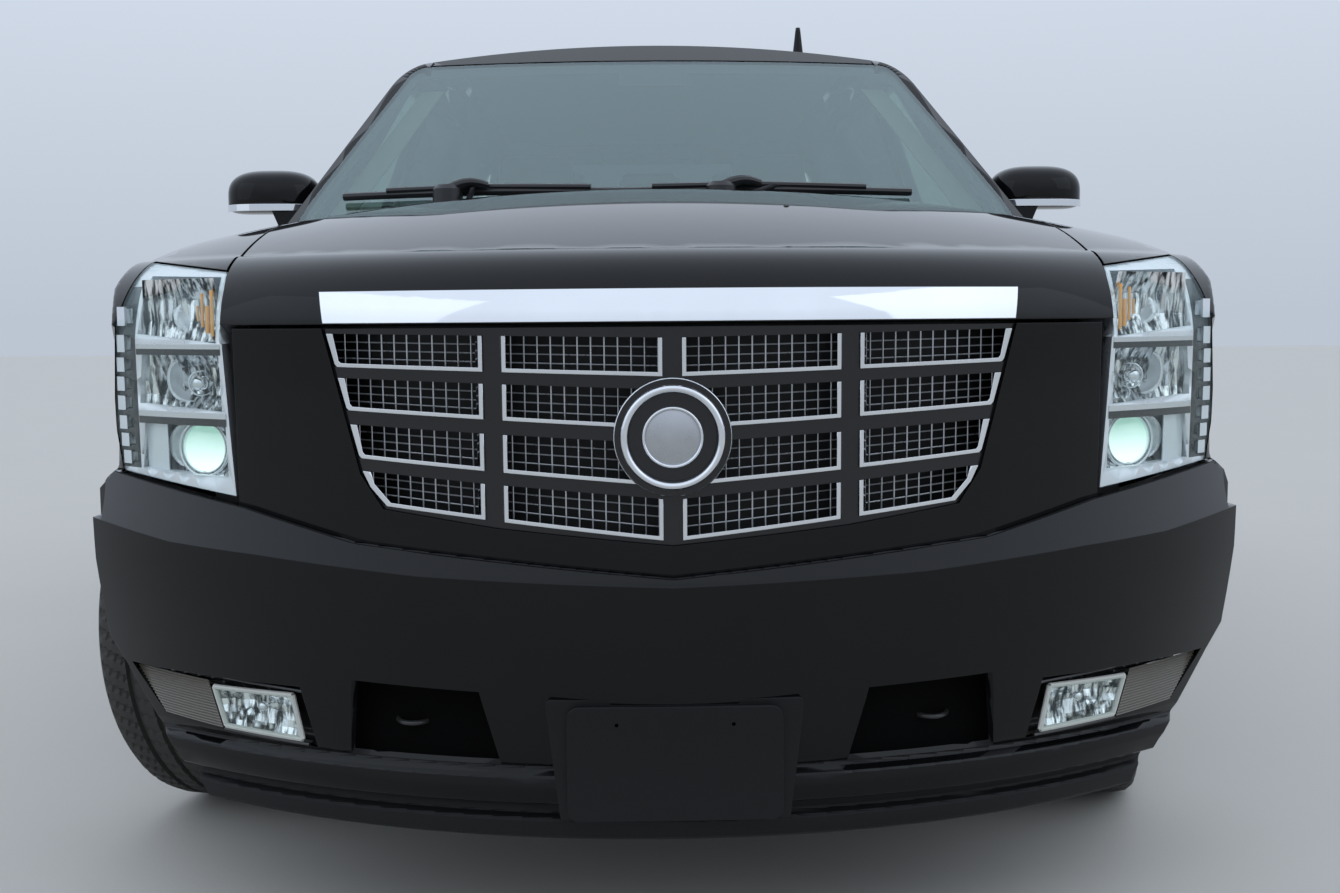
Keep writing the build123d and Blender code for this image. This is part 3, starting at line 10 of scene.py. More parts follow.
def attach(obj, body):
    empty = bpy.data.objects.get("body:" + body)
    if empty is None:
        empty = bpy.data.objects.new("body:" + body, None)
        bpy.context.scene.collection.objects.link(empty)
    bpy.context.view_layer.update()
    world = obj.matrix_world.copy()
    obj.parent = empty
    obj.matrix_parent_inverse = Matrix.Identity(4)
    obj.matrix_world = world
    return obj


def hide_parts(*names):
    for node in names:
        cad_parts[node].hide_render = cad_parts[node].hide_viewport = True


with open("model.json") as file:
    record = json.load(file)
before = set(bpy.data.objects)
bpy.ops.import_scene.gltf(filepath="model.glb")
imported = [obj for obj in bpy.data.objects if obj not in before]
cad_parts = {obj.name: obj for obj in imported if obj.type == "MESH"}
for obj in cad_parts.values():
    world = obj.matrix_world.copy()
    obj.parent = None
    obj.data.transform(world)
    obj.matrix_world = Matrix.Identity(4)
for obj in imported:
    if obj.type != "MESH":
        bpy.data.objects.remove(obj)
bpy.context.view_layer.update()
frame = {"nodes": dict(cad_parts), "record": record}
nodes = frame["nodes"]
body_of = {n: b for b, held in frame["record"]["behaviour"]["bodies"].items() for n in held}


# Camera. The photo was taken from straight ahead, about a metre above the ground and a little to
# the vehicle's right, with a focal length of 1550 pixels on the 1340 pixel wide picture.
CAMERA_AT = (-0.05, -4.86, 1.0123)
YAW, PITCH, ROLL = 0.0197, -0.0840, -0.0079
view = bpy.data.cameras.new("camera")
view.sensor_width = 36.0
view.lens = 36.0 * 1550 / 1340
flat_right = np.array([math.cos(YAW), -math.sin(YAW), 0.0])
flat_ahead = np.array([math.sin(YAW), math.cos(YAW), 0.0])
upright = np.array([0.0, 0.0, 1.0])
ahead = math.cos(PITCH) * flat_ahead + math.sin(PITCH) * upright
above = math.cos(PITCH) * upright - math.sin(PITCH) * flat_ahead
right_row = math.cos(ROLL) * flat_right + math.sin(ROLL) * above
up_row = math.cos(ROLL) * above - math.sin(ROLL) * flat_right
camera = bpy.data.objects.new("camera", view)
bpy.context.collection.objects.link(camera)
camera.matrix_world = Matrix([[right_row[i], up_row[i], -ahead[i], CAMERA_AT[i]] for i in range(3)] + [[0, 0, 0, 1]])
bpy.context.scene.camera = camera
bpy.context.scene.view_settings.view_transform = "Standard"


# Floor and studio light. The vehicle stands on pale concrete. Two wide soft lamps stand ahead of
# it, one on either side, and the pale surround grows brighter upwards, as an open sky does.
def grid_faces(nu, nv, wrap_u=False, wrap_v=False):
    """Quads of a grid of nu by nv points, closed on itself in either direction if asked."""
    u = np.arange(nu if wrap_u else nu - 1)[:, None]
    v = np.arange(nv if wrap_v else nv - 1)[None, :]
    u1, v1 = (u + 1) % nu, (v + 1) % nv
    return np.stack([u * nv + v, u1 * nv + v, u1 * nv + v1, u * nv + v1], axis=-1).reshape(-1, 4)


def add_mesh(name, parts, material, body=None, closed=True, smooth_angle=35.0):
    """One object from (points, faces) parts, riding on a body. Closed forms are turned outwards."""
    mesh = bpy.data.meshes.new(name)
    starts = np.cumsum([0] + [np.asarray(points).reshape(-1, 3).shape[0] for points, _ in parts])
    all_points = np.concatenate([np.asarray(points, float).reshape(-1, 3) for points, _ in parts])
    all_faces = [row for start, (_, faces) in zip(starts, parts) for row in (np.asarray(faces) + start).tolist()]
    mesh.from_pydata(all_points.tolist(), [], all_faces)
    if closed:
        work = bmesh.new()
        work.from_mesh(mesh)
        bmesh.ops.remove_doubles(work, verts=work.verts, dist=1e-6)
        bmesh.ops.recalc_face_normals(work, faces=work.faces)
        work.to_mesh(mesh)
        work.free()
    mesh.polygons.foreach_set("use_smooth", np.ones(len(mesh.polygons), bool))
    mesh.set_sharp_from_angle(angle=math.radians(smooth_angle))
    mesh.materials.append(material)
    piece = bpy.data.objects.new(name, mesh)
    bpy.context.collection.objects.link(piece)
    if body:
        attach(piece, body)
    return piece


def new_node(tree, kind, values=None, **settings):
    """A shader node of a kind, with its settings and the values of its sockets."""
    made = tree.nodes.new("ShaderNode" + kind)
    for setting, value in settings.items():
        setattr(made, setting, value)
    for socket, value in (values or {}).items():
        made.inputs[socket].default_value = value
    return made


def link_all(tree, *ends):
    """Link each pair of an outgoing and an incoming socket."""
    for outgoing, incoming in ends:
        tree.links.new(outgoing, incoming)


def finish_of(name, colour, second, rough, metal=0.0, patch=3.0, grain=0.0, grain_size=900.0, coat=0.0,
              shine=0.5, edge=0.0, pebbled=False):
    """A finish whose colour and roughness drift in patches, with a fine grain in its surface."""
    made = bpy.data.materials.new(name)
    made.use_nodes = True
    tree = made.node_tree
    shader = tree.nodes["Principled BSDF"]
    place = new_node(tree, "TexCoord")
    cloud = new_node(tree, "TexNoise", {"Scale": patch, "Detail": 5.0})
    blend = new_node(tree, "Mix", {6: (*colour, 1), 7: (*second, 1)}, data_type="RGBA")
    play = new_node(tree, "MapRange", {"From Min": 0.3, "From Max": 0.7,
                                       "To Min": rough * 0.85, "To Max": rough * 1.15})
    link_all(tree, (place.outputs["Object"], cloud.inputs["Vector"]), (cloud.outputs["Fac"], blend.inputs[0]),
             (blend.outputs[2], shader.inputs["Base Color"]), (cloud.outputs["Fac"], play.inputs["Value"]),
             (play.outputs["Result"], shader.inputs["Roughness"]))
    shader.inputs["Metallic"].default_value = metal
    shader.inputs["Specular IOR Level"].default_value = shine
    shader.inputs["Coat Weight"].default_value = coat
    shader.inputs["Coat Roughness"].default_value = 0.02
    last = None
    if edge:
        last = new_node(tree, "Bevel", {"Radius": edge}).outputs["Normal"]
        tree.links.new(last, shader.inputs["Coat Normal"])
    if grain:
        fine = new_node(tree, "TexVoronoi" if pebbled else "TexNoise", {"Scale": grain_size})
        relief = new_node(tree, "Bump", {"Strength": grain, "Distance": 0.001})
        link_all(tree, (place.outputs["Object"], fine.inputs["Vector"]), (fine.outputs[0], relief.inputs["Height"]))
        if last:
            tree.links.new(last, relief.inputs["Normal"])
        last = relief.outputs["Normal"]
    if last:
        tree.links.new(last, shader.inputs["Normal"])
    return made


concrete = finish_of("pale_concrete", (0.50, 0.48, 0.44), (0.58, 0.56, 0.52), 0.7, patch=1.2, grain=0.3, grain_size=150)
FLOOR_REACH = 40.0
floor_corners = np.array([(-1, -1, 0), (1, -1, 0), (1, 1, 0), (-1, 1, 0)], float) * FLOOR_REACH
add_mesh("floor", [(floor_corners, [[0, 1, 2, 3]])], concrete, closed=False)
world = bpy.data.worlds.new("pale_surround")
bpy.context.scene.world = world
world.use_nodes = True
heaven = world.node_tree
sky = heaven.nodes["Background"]
sky.inputs["Color"].default_value = (0.72, 0.80, 0.92, 1)
toward_sky = new_node(heaven, "TexCoord")
sky_parts = new_node(heaven, "SeparateXYZ")
sky_level = new_node(heaven, "MapRange", {"From Max": 0.6, "To Min": 0.70, "To Max": 1.25})
link_all(heaven, (toward_sky.outputs["Generated"], sky_parts.inputs["Vector"]),
         (sky_parts.outputs["Z"], sky_level.inputs["Value"]), (sky_level.outputs["Result"], sky.inputs["Strength"]))
LAMP_SIZE = 7.0
LAMPS_AIM = (0.0, -1.0, 0.8)
for lamp_name, spot, watts in (("lamp_left", (7.5, -6.0, 5.5), 55.0), ("lamp_right", (-7.5, -6.0, 5.0), 40.0)):
    lamp = bpy.data.lights.new(lamp_name, "AREA")
    lamp.shape = "SQUARE"
    lamp.size = LAMP_SIZE
    lamp.energy = watts
    lamp.color = (0.84, 0.92, 1.0)
    lamp_object = bpy.data.objects.new(lamp_name, lamp)
    bpy.context.collection.objects.link(lamp_object)
    toward = np.array(LAMPS_AIM) - np.array(spot)
    toward /= np.linalg.norm(toward)
    side = np.cross(toward, upright)
    side /= np.linalg.norm(side)
    over = np.cross(side, toward)
    lamp_object.matrix_world = Matrix([[side[i], over[i], -toward[i], spot[i]] for i in range(3)] + [[0, 0, 0, 1]])


# Painted body: pressed steel and aluminium panels, painted black under a smooth clear coat. Each
# panel is the frame's own, merged so that it shades smoothly.
def smooth_panel(node, material, angle=30.0):
    """A merged, smoothly shaded copy of a CAD node that stands for it and rides on its body."""
    mesh = nodes[node].data.copy()
    mesh.materials.clear()
    work = bmesh.new()
    work.from_mesh(mesh)
    bmesh.ops.remove_doubles(work, verts=work.verts, dist=2e-5)
    work.to_mesh(mesh)
    work.free()
    mesh.polygons.foreach_set("use_smooth", np.ones(len(mesh.polygons), bool))
    mesh.set_sharp_from_angle(angle=math.radians(angle))
    mesh.materials.append(material)
    piece = bpy.data.objects.new(node + "_surface", mesh)
    bpy.context.collection.objects.link(piece)
    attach(piece, body_of[node])
    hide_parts(node)
    return piece


def dress(node, material):
    """A CAD node that stays gets the material on its own slots."""
    for held in nodes[node].material_slots:
        held.material = material


paint = finish_of("black_clearcoat", (0.002, 0.002, 0.0025), (0.004, 0.004, 0.0045), 0.35, patch=6.0, coat=1.0,
                  shine=0.0, edge=0.0015)
paint.node_tree.nodes["Principled BSDF"].inputs["Coat IOR"].default_value = 1.34
DOORS = ("door_front_left", "door_front_right", "door_rear_left", "door_rear_right")
for panel in ("roof_panel", "side_frame_left", "side_frame_right", "front_fenders", "fascia", "front_bumper", "hood",
              "tailgate", "rear_bumper", *DOORS):
    smooth_panel(panel, paint)
NOSE_Y = -1.141


def coordinates(piece):
    """The points of a piece as an array."""
    points = np.empty(len(piece.data.vertices) * 3)
    piece.data.vertices.foreach_get("co", points)
    return points.reshape(-1, 3)


def move_points(piece, points):
    """Put changed points back into a piece's mesh."""
    piece.data.vertices.foreach_set("co", points.ravel())
    piece.data.update()


def set_reach(piece, points, reach):
    """Give each point a new distance from the nose's upright axis: p = axis + (p - axis) reach / r."""
    away = np.hypot(points[:, 0], points[:, 1] - NOSE_Y)
    share = reach / np.maximum(away, 1e-9)
    points[:, 0] *= share
    points[:, 1] = NOSE_Y + (points[:, 1] - NOSE_Y) * share
    move_points(piece, points)


def turned_normals(piece, slopes=None, flattest=0.5):
    """Even out the shading of faces that lie on a form turned about the nose's upright axis.

    There the normal at a point is n = sqrt(1 - k^2) r + k z, where r is the unit vector from
    the axis to the point and k the slope shared by the faces that meet there, or the one that
    the table of slopes gives for the height.
    """
    mesh = piece.data
    points = coordinates(piece)
    corner = np.empty(len(mesh.loops), np.int32)
    mesh.loops.foreach_get("vertex_index", corner)
    sizes = np.empty(len(mesh.polygons), np.int32)
    mesh.polygons.foreach_get("loop_total", sizes)
    flat = np.empty(len(mesh.polygons) * 3)
    mesh.polygons.foreach_get("normal", flat)
    flat = np.repeat(flat.reshape(-1, 3), sizes, axis=0)
    normals = np.empty(len(mesh.loops) * 3, np.float32)
    mesh.corner_normals.foreach_get("vector", normals)
    normals = normals.reshape(-1, 3).astype(float)
    ray = points[corner] - (0, NOSE_Y, 0)
    ray[:, 2] = 0
    ray /= np.maximum(np.linalg.norm(ray, axis=1, keepdims=True), 1e-9)
    level = np.hypot(flat[:, 0], flat[:, 1])
    on_form = ((flat * ray).sum(axis=1) > 0.98 * level) & (level > 0.15) & (points[corner][:, 1] < -1.7)
    held = np.flatnonzero(on_form)
    order = held[np.lexsort((flat[held, 2], corner[held]))]
    slope = flat[order, 2]
    starts = np.concatenate([[True], (np.diff(corner[order]) != 0) | (np.diff(slope) > 0.2)])
    group = np.cumsum(starts) - 1
    k = (np.bincount(group, slope) / np.bincount(group))[group]
    if slopes:
        height = points[corner[order], 2]
        steep = (np.abs(slope) < flattest) & (height > slopes[0][0]) & (height < slopes[0][-1])
        k = np.where(steep, np.interp(height, *slopes), k)
    normals[order] = ray[order] * np.sqrt(1 - k ** 2)[:, None] + np.stack([0 * k, 0 * k, k], axis=-1)
    mesh.normals_split_custom_set(normals.tolist())


# Front bumper: its face shades as one turned form, and a hollow shoulder rises from the crease
# to the fascia, moulded with the bumper and painted like it.
def walled(front, back):
    """A closed plate between two grids of one size: both faces and the four rims."""
    nu, nv = front.shape[:2]
    count = nu * nv
    index = np.arange(count).reshape(nu, nv)
    rim = np.concatenate([index[0, :-1], index[:-1, -1], index[-1, :0:-1], index[:0:-1, 0]])
    after = np.roll(rim, -1)
    faces = [grid_faces(nu, nv), grid_faces(nu, nv)[:, ::-1] + count]
    faces.append(np.stack([rim, rim + count, after + count, after], axis=-1))
    return np.concatenate([front.reshape(-1, 3), back.reshape(-1, 3)]), np.concatenate(faces)


def nose_reach(z):
    """The nose's radius about its upright axis: 1.386 up to z = 0.6, growing evenly to 1.400 at z = 1.005."""
    return 1.386 + 0.014 * (np.clip(z, 0.6, 1.005) - 0.6) / 0.405


def drawn_in(points):
    """Draw the front corners in behind the lamps' outer edges.

    Half width is capped at a limit that grows rearwards and, below z = 0.756, by 1.2 (0.756 - z).
    """
    limit = np.interp(points[..., 1], [-2.16, -2.10, -2.03, -1.98], [0.958, 0.970, 0.986, 1.2])
    limit = limit + 1.2 * np.maximum(0.756 - points[..., 2], 0)
    over = np.maximum(np.abs(points[..., 0]) - limit, 0)
    points[..., 0] -= np.sign(points[..., 0]) * over
    return points


for corner_piece in ("front_fenders_surface", "front_bumper_surface"):
    corner_shell = bpy.data.objects[corner_piece]
    move_points(corner_shell, drawn_in(coordinates(corner_shell)))
BUMPER_SLOPES = ([0.334, 0.40, 0.47, 0.56, 0.672], [-0.20, -0.16, -0.13, -0.09, 0.0])
turned_normals(bpy.data.objects["front_bumper_surface"], BUMPER_SLOPES)
turned_normals(bpy.data.objects["fascia_surface"])
CREASE_LINE = ([0.0, 0.39, 0.66, 0.83, 1.02], [0.607, 0.620, 0.640, 0.648, 0.674])
JOIN_LINE = ([0.0, 0.497, 0.690, 0.940, 1.02], [0.616, 0.663, 0.710, 0.749, 0.756])
CREASE_R, JOIN_R = 1.4295, 1.4045
SHOULDER_END = 0.985
across, rise = np.meshgrid(np.linspace(-1, 1, 161), np.linspace(0, 1, 15), indexing="ij")
shoulder_x = across * SHOULDER_END
foot_z = np.interp(np.abs(shoulder_x), *CREASE_LINE) - 0.003
head_z = np.interp(np.abs(shoulder_x), *JOIN_LINE) - 0.001
shoulder_z = foot_z + (head_z - foot_z) * rise
shoulder = []
for inset in (0.0, 0.002):
    reach = JOIN_R + (CREASE_R - JOIN_R) * (1 - rise) ** 2.4 - inset
    strip = np.stack([shoulder_x, NOSE_Y - np.sqrt(reach ** 2 - shoulder_x ** 2), shoulder_z], axis=-1)
    shoulder.append(drawn_in(strip))
turned_normals(add_mesh("bumper_shoulder", [walled(*shoulder)], paint, "root", smooth_angle=50.0),
               ([0.55, 0.62, 0.70, 0.80], [0.74, 0.72, 0.68, 0.62]), flattest=1.1)


# Glass: laminated and tempered panes, clear green tint in front and dark privacy tint behind
# the front doors. The windscreen has a black ceramic border and the patch of the mirror's foot.
def pane_of(name, tint, least, mirror=0.5):
    """Glass that lets its tint through and reflects more at glancing angles."""
    made = bpy.data.materials.new(name)
    made.use_nodes = True
    tree = made.node_tree
    shader = tree.nodes["Principled BSDF"]
    shader.inputs["Base Color"].default_value = (0.66, 0.78, 0.81, 1)
    shader.inputs["Metallic"].default_value = 1.0
    shader.inputs["Roughness"].default_value = 0.03
    clear = new_node(tree, "BsdfTransparent", {"Color": (*tint, 1)})
    glance = new_node(tree, "LayerWeight", {"Blend": 0.5})
    bend = new_node(tree, "Math", {1: 4.0}, operation="POWER")
    lift = new_node(tree, "MapRange", {"To Min": least, "To Max": mirror})
    both = new_node(tree, "MixShader")
    link_all(tree, (glance.outputs["Facing"], bend.inputs[0]), (bend.outputs[0], lift.inputs["Value"]),
             (lift.outputs["Result"], both.inputs[0]), (clear.outputs[0], both.inputs[1]),
             (shader.outputs[0], both.inputs[2]), (both.outputs[0], tree.nodes["Material Output"].inputs["Surface"]))
    return made


tinted = pane_of("green_tinted_glass", (0.78, 0.85, 0.81), 0.28)
privacy = pane_of("privacy_glass", (0.25, 0.27, 0.27), 0.05)
screen_glass = pane_of("reflecting_windscreen", (0.62, 0.70, 0.66), 0.155, 0.60)
smooth_panel("windscreen", screen_glass)
for pane in ("glass_front_left", "glass_front_right"):
    smooth_panel(pane, tinted)
for pane in ("glass_rear_left", "glass_rear_right", "quarter_glass", "tailgate_glass"):
    smooth_panel(pane, privacy)


SCREEN_SLOPE = math.radians(30.3)
SCREEN_PLAN_R = 2.586
SCREEN_FOOT_Y, SCREEN_FOOT_Z = -1.180, 1.255


def on_screen(x, z, off):
    """Points of the windscreen: its plan arc carried up the slope, moved off its face."""
    up = (z - SCREEN_FOOT_Z) / math.sin(SCREEN_SLOPE)
    y = SCREEN_FOOT_Y + SCREEN_PLAN_R - np.sqrt(SCREEN_PLAN_R ** 2 - x ** 2) + up * math.cos(SCREEN_SLOPE)
    return np.stack([x, y - off * math.sin(SCREEN_SLOPE), z + off * math.cos(SCREEN_SLOPE)], axis=-1)


def screen_patch(x0, x1, z0, z1, off=-0.0075, thick=0.001):
    """A thin patch under the pane: at each height x runs straight from the edge x0(z) to x1(z)."""
    z = np.linspace(z0, z1, 24)[:, None]
    share = np.linspace(0, 1, 24)[None, :]
    x = np.asarray(x0(z)) * (1 - share) + np.asarray(x1(z)) * share
    return walled(on_screen(x, z + 0 * x, off), on_screen(x, z + 0 * x, off - thick))


def pillar_edge(z):
    """Half width of the pane at a height: 0.858 - 0.3936 (z - 1.30)."""
    return 0.858 - (z - 1.30) * 0.3936


ceramic = finish_of("black_ceramic_print", (0.006, 0.006, 0.006), (0.009, 0.009, 0.009), 0.4)
BORDER = 0.030
border = []
for sign in (-1, 1):
    border.append(screen_patch(lambda z: sign * pillar_edge(z), lambda z: sign * (pillar_edge(z) - BORDER),
                               1.262, 1.725))
border.append(screen_patch(lambda z: BORDER - pillar_edge(z), lambda z: pillar_edge(z) - BORDER, 1.700, 1.731))
MIRROR_FOOT_HALF = 0.098
border.append(screen_patch(lambda z: -MIRROR_FOOT_HALF + 0 * z, lambda z: MIRROR_FOOT_HALF + 0 * z, 1.655, 1.702))
add_mesh("windscreen_border", border, ceramic, "root")


# Headliner and pillar trim: pale knitted cloth on moulded board, seen through the windscreen. The
# headliner is arched across: z = 1.745 + 0.012 (1 - (x / 0.58)^2).
pale_cloth = finish_of("pale_headliner_cloth", (0.42, 0.40, 0.35), (0.50, 0.48, 0.42), 0.9, patch=14.0, grain=0.5,
                       grain_size=1500.0)
pillar_trim = [screen_patch(lambda z: sign * (pillar_edge(z) - 0.034), lambda z: sign * (pillar_edge(z) - 0.100), 1.31,
                            1.70, off=-0.045, thick=0.004) for sign in (-1, 1)]
add_mesh("pillar_trim", pillar_trim, pale_cloth, "root")
liner_x, liner_y = np.meshgrid(np.linspace(-0.58, 0.58, 25), np.linspace(-0.16, 1.95, 46), indexing="ij")
liner_z = 1.745 + 0.012 * (1 - (liner_x / 0.58) ** 2)
liner = [np.stack([liner_x, liner_y, liner_z + lift], axis=-1) for lift in (0.0, 0.006)]
add_mesh("headliner", [walled(*liner)], pale_cloth, "root")


# Chrome bar across the hood's front edge: a plated casting clipped to the hood. It follows the
# nose, so it shades as a form turned about the nose's upright axis.
chrome = finish_of("bright_chrome", (0.74, 0.76, 0.79), (0.82, 0.84, 0.87), 0.06, metal=1.0, patch=8.0, edge=0.0015)
turned_normals(smooth_panel("hood_trim", chrome))


# Grille: an egg-crate moulding in gloss black plastic, with a bright lip in each opening, woven
# wire behind, and a plain round badge without any sign on it.
gloss_black = finish_of("gloss_black_plastic", (0.006, 0.006, 0.007), (0.010, 0.010, 0.011), 0.2, edge=0.001)
turned_normals(smooth_panel("grille", gloss_black))
LIP_DEPTH = 0.009
lips = smooth_panel("grille_trim", chrome)
lip_points = coordinates(lips)
lip_reach = np.hypot(lip_points[:, 0], lip_points[:, 1] - NOSE_Y)
set_reach(lips, lip_points, np.maximum(lip_reach, nose_reach(lip_points[:, 2]) - LIP_DEPTH))


def nose_y(x, z, inset=0.0):
    """The nose's face, moved inwards by the inset: y = axis - sqrt((radius(z) - inset)^2 - x^2)."""
    return NOSE_Y - np.sqrt((nose_reach(z) - inset) ** 2 - x ** 2)


def on_nose(x, z, inset):
    """Points of the nose's face, moved inwards by the inset, for their places in the front view."""
    return np.stack([x, nose_y(x, z, inset), z], axis=-1)


def tube(path, radius, sides=10, closed=False):
    """A round bar along a path: a circle carried along it, drawn to a point at open ends."""
    path = np.asarray(path, float)
    if closed:
        along = np.roll(path, -1, axis=0) - np.roll(path, 1, axis=0)
    else:
        along = np.gradient(path, axis=0)
    radii = np.broadcast_to(np.asarray(radius, float), (len(path),))
    if not closed:
        path = np.concatenate([path[:1], path, path[-1:]])
        along = np.concatenate([along[:1], along, along[-1:]])
        radii = np.concatenate([[0.0], radii, [0.0]])
    along = along / np.linalg.norm(along, axis=1, keepdims=True)
    level = np.array([0.0, 0.0, 1.0]) if np.abs(along[:, 2]).mean() < 0.7 else np.array([1.0, 0.0, 0.0])
    first = np.cross(along, level)
    first /= np.linalg.norm(first, axis=1, keepdims=True)
    second = np.cross(along, first)
    turn = np.linspace(0, 2 * math.pi, sides, endpoint=False)
    ring = np.cos(turn)[None, :, None] * first[:, None] + np.sin(turn)[None, :, None] * second[:, None]
    points = path[:, None] + radii[:, None, None] * ring
    return points.reshape(-1, 3), grid_faces(len(path), sides, closed, True)


wire_metal = finish_of("woven_wire", (0.62, 0.63, 0.65), (0.50, 0.51, 0.53), 0.3, metal=0.7, patch=40.0)
WIRE_R = 0.0012
MESH_INSET = 0.036
GRILLE_FOOT = ([0.0, 0.27, 0.45, 0.486, 0.544], [0.664, 0.690, 0.716, 0.770, 0.997])
ROWS = ((0.980, 0.989, 0.922, 0.938), (0.902, 0.921, 0.842, 0.872), (0.820, 0.850, 0.755, 0.800),
        (0.735, 0.780, 0.671, 0.732))
wires = []
for x in np.arange(-25, 26) * 0.0205:
    z = np.linspace(np.interp(abs(x), *GRILLE_FOOT) + 0.004, 0.990, 14)
    wires.append(tube(on_nose(x + 0 * z, z, MESH_INSET), WIRE_R, 6))
for top_middle, top_end, low_middle, low_end in ROWS:
    for share in (0.25, 0.5, 0.75):
        end_z = (top_end * share + low_end * (1 - share))
        reach = np.interp(end_z, GRILLE_FOOT[1], GRILLE_FOOT[0]) - 0.006
        x = np.linspace(-reach, reach, 41)
        middle = top_middle * share + low_middle * (1 - share)
        z = middle + (end_z - middle) * np.abs(x) / 0.54
        wires.append(tube(on_nose(x, z, MESH_INSET + 0.0018), WIRE_R, 6))
add_mesh("grille_mesh", wires, wire_metal, "root")
dark_duct = finish_of("dark_duct_plastic", (0.004, 0.004, 0.004), (0.007, 0.007, 0.007), 0.6, grain=0.2)
share_x, share_z = np.meshgrid(np.linspace(-1, 1, 41), np.linspace(0, 1, 9), indexing="ij")
duct_x = share_x * 0.56
duct_z = (0.655 + 0.05 * np.abs(share_x)) * (1 - share_z) + 1.000 * share_z
duct = [on_nose(duct_x, duct_z, inset) for inset in (0.070, 0.074)]
add_mesh("grille_duct", [walled(*duct)], dark_duct, "root")


def turned_y(profile, centre, around=96):
    """A form turned about an axis along Y: (radius, y) profile points swept full circle."""
    profile = np.asarray(profile, float)
    turn = np.linspace(0, 2 * math.pi, around, endpoint=False)[:, None]
    x = centre[0] + profile[None, :, 0] * np.cos(turn)
    z = centre[2] + profile[None, :, 0] * np.sin(turn)
    y = centre[1] + profile[None, :, 1] + 0 * turn
    return np.stack([x, y, z], axis=-1).reshape(-1, 3), grid_faces(around, len(profile), True, False)


BADGE = (0.0, NOSE_Y - 1.393 - 0.012, 0.831)
arc = np.linspace(0, math.pi, 13)
ring_profile = [(0.0735 + 0.0065 * math.cos(a), -0.009 * math.sin(a)) for a in arc]
collar_profile = [(0.0875 + 0.0025 * math.cos(a), 0.010 - 0.004 * math.sin(a)) for a in np.linspace(0, 2 * math.pi, 17)]
add_mesh("badge_rings", [
    turned_y([(0.0805, 0.004), *ring_profile, (0.0665, 0.004), (0.0805, 0.004)], BADGE),
    turned_y([(0.044 + 0.003 * math.cos(a), 0.004 - 0.005 * math.sin(a)) for a in np.linspace(0, 2 * math.pi, 17)],
             BADGE),
    turned_y(collar_profile, BADGE),
], chrome, "root")
badge_silver = finish_of("badge_silver", (0.42, 0.43, 0.45), (0.52, 0.53, 0.55), 0.28, metal=1.0, patch=30.0)
dome = [(r, 0.004 - 0.006 * (1 - (r / 0.042) ** 2)) for r in np.linspace(0, 0.042, 9)]
add_mesh("badge_disc", [turned_y([*dome, (0.042, 0.006), (0.0, 0.006)], BADGE)], badge_silver, "root")


# Headlamps: a silver housing with three chambers behind a clear cover. Each holds a reflector of
# flat facets: the top one with amber strips, the middle one with a bulb, and the lowest with a
# projector lens in a ring, whose glow is a painted reflection.
def flipped(part):
    """The same part on the other side of the middle plane."""
    points, faces = part
    return np.asarray(points) * (-1, 1, 1), np.asarray(faces)[:, ::-1]


def both_sides(parts):
    """Parts for the left side and their mirrored copies."""
    return [*parts, *[flipped(part) for part in parts]]


reflector = finish_of("reflector_painted_reflections", (0.03, 0.032, 0.034), (0.95, 0.96, 0.97), 0.10, metal=1.0, patch=1.0)
# The reflector's colour runs in stretched streaks from near black to bright silver: painted reflections over its
# facets, on the lamp bowls, block backs and fog lamp bowls alike.
painted_reflection_streaks = reflector.node_tree
cloud, blend = painted_reflection_streaks.nodes["Noise Texture"], painted_reflection_streaks.nodes["Mix"]
stretch = new_node(painted_reflection_streaks, "Mapping", {"Scale": (120.0, 40.0, 24.0)})
harder = new_node(painted_reflection_streaks, "MapRange", {"From Min": 0.38, "From Max": 0.56})
link_all(painted_reflection_streaks, (painted_reflection_streaks.nodes["Texture Coordinate"].outputs["Object"], stretch.inputs["Vector"]),
         (stretch.outputs["Vector"], cloud.inputs["Vector"]), (cloud.outputs["Fac"], harder.inputs["Value"]),
         (harder.outputs["Result"], blend.inputs[0]))
bright_bezel = finish_of("bright_bezel", (0.90, 0.92, 0.95), (0.82, 0.85, 0.89), 0.25, metal=0.35, patch=10.0)
lamp_cover = pane_of("clear_lamp_cover", (0.97, 0.99, 0.98), 0.04, 0.5)
bar_shadow_finish = finish_of("painted_bar_shadow", (0.02, 0.022, 0.022), (0.035, 0.037, 0.036), 0.2, coat=0.5)
HOUSING_Z = ([0.0, 0.752, 0.862, 0.880, 0.984, 1.000, 1.082, 1.3],
             [0.0, 0.752, 0.843, 0.861, 0.956, 0.973, 1.082, 1.3])
housing = smooth_panel("headlamps", bright_bezel)
housing_points = coordinates(housing)
housing_points[:, 2] = np.interp(housing_points[:, 2], *HOUSING_Z)
move_points(housing, housing_points)
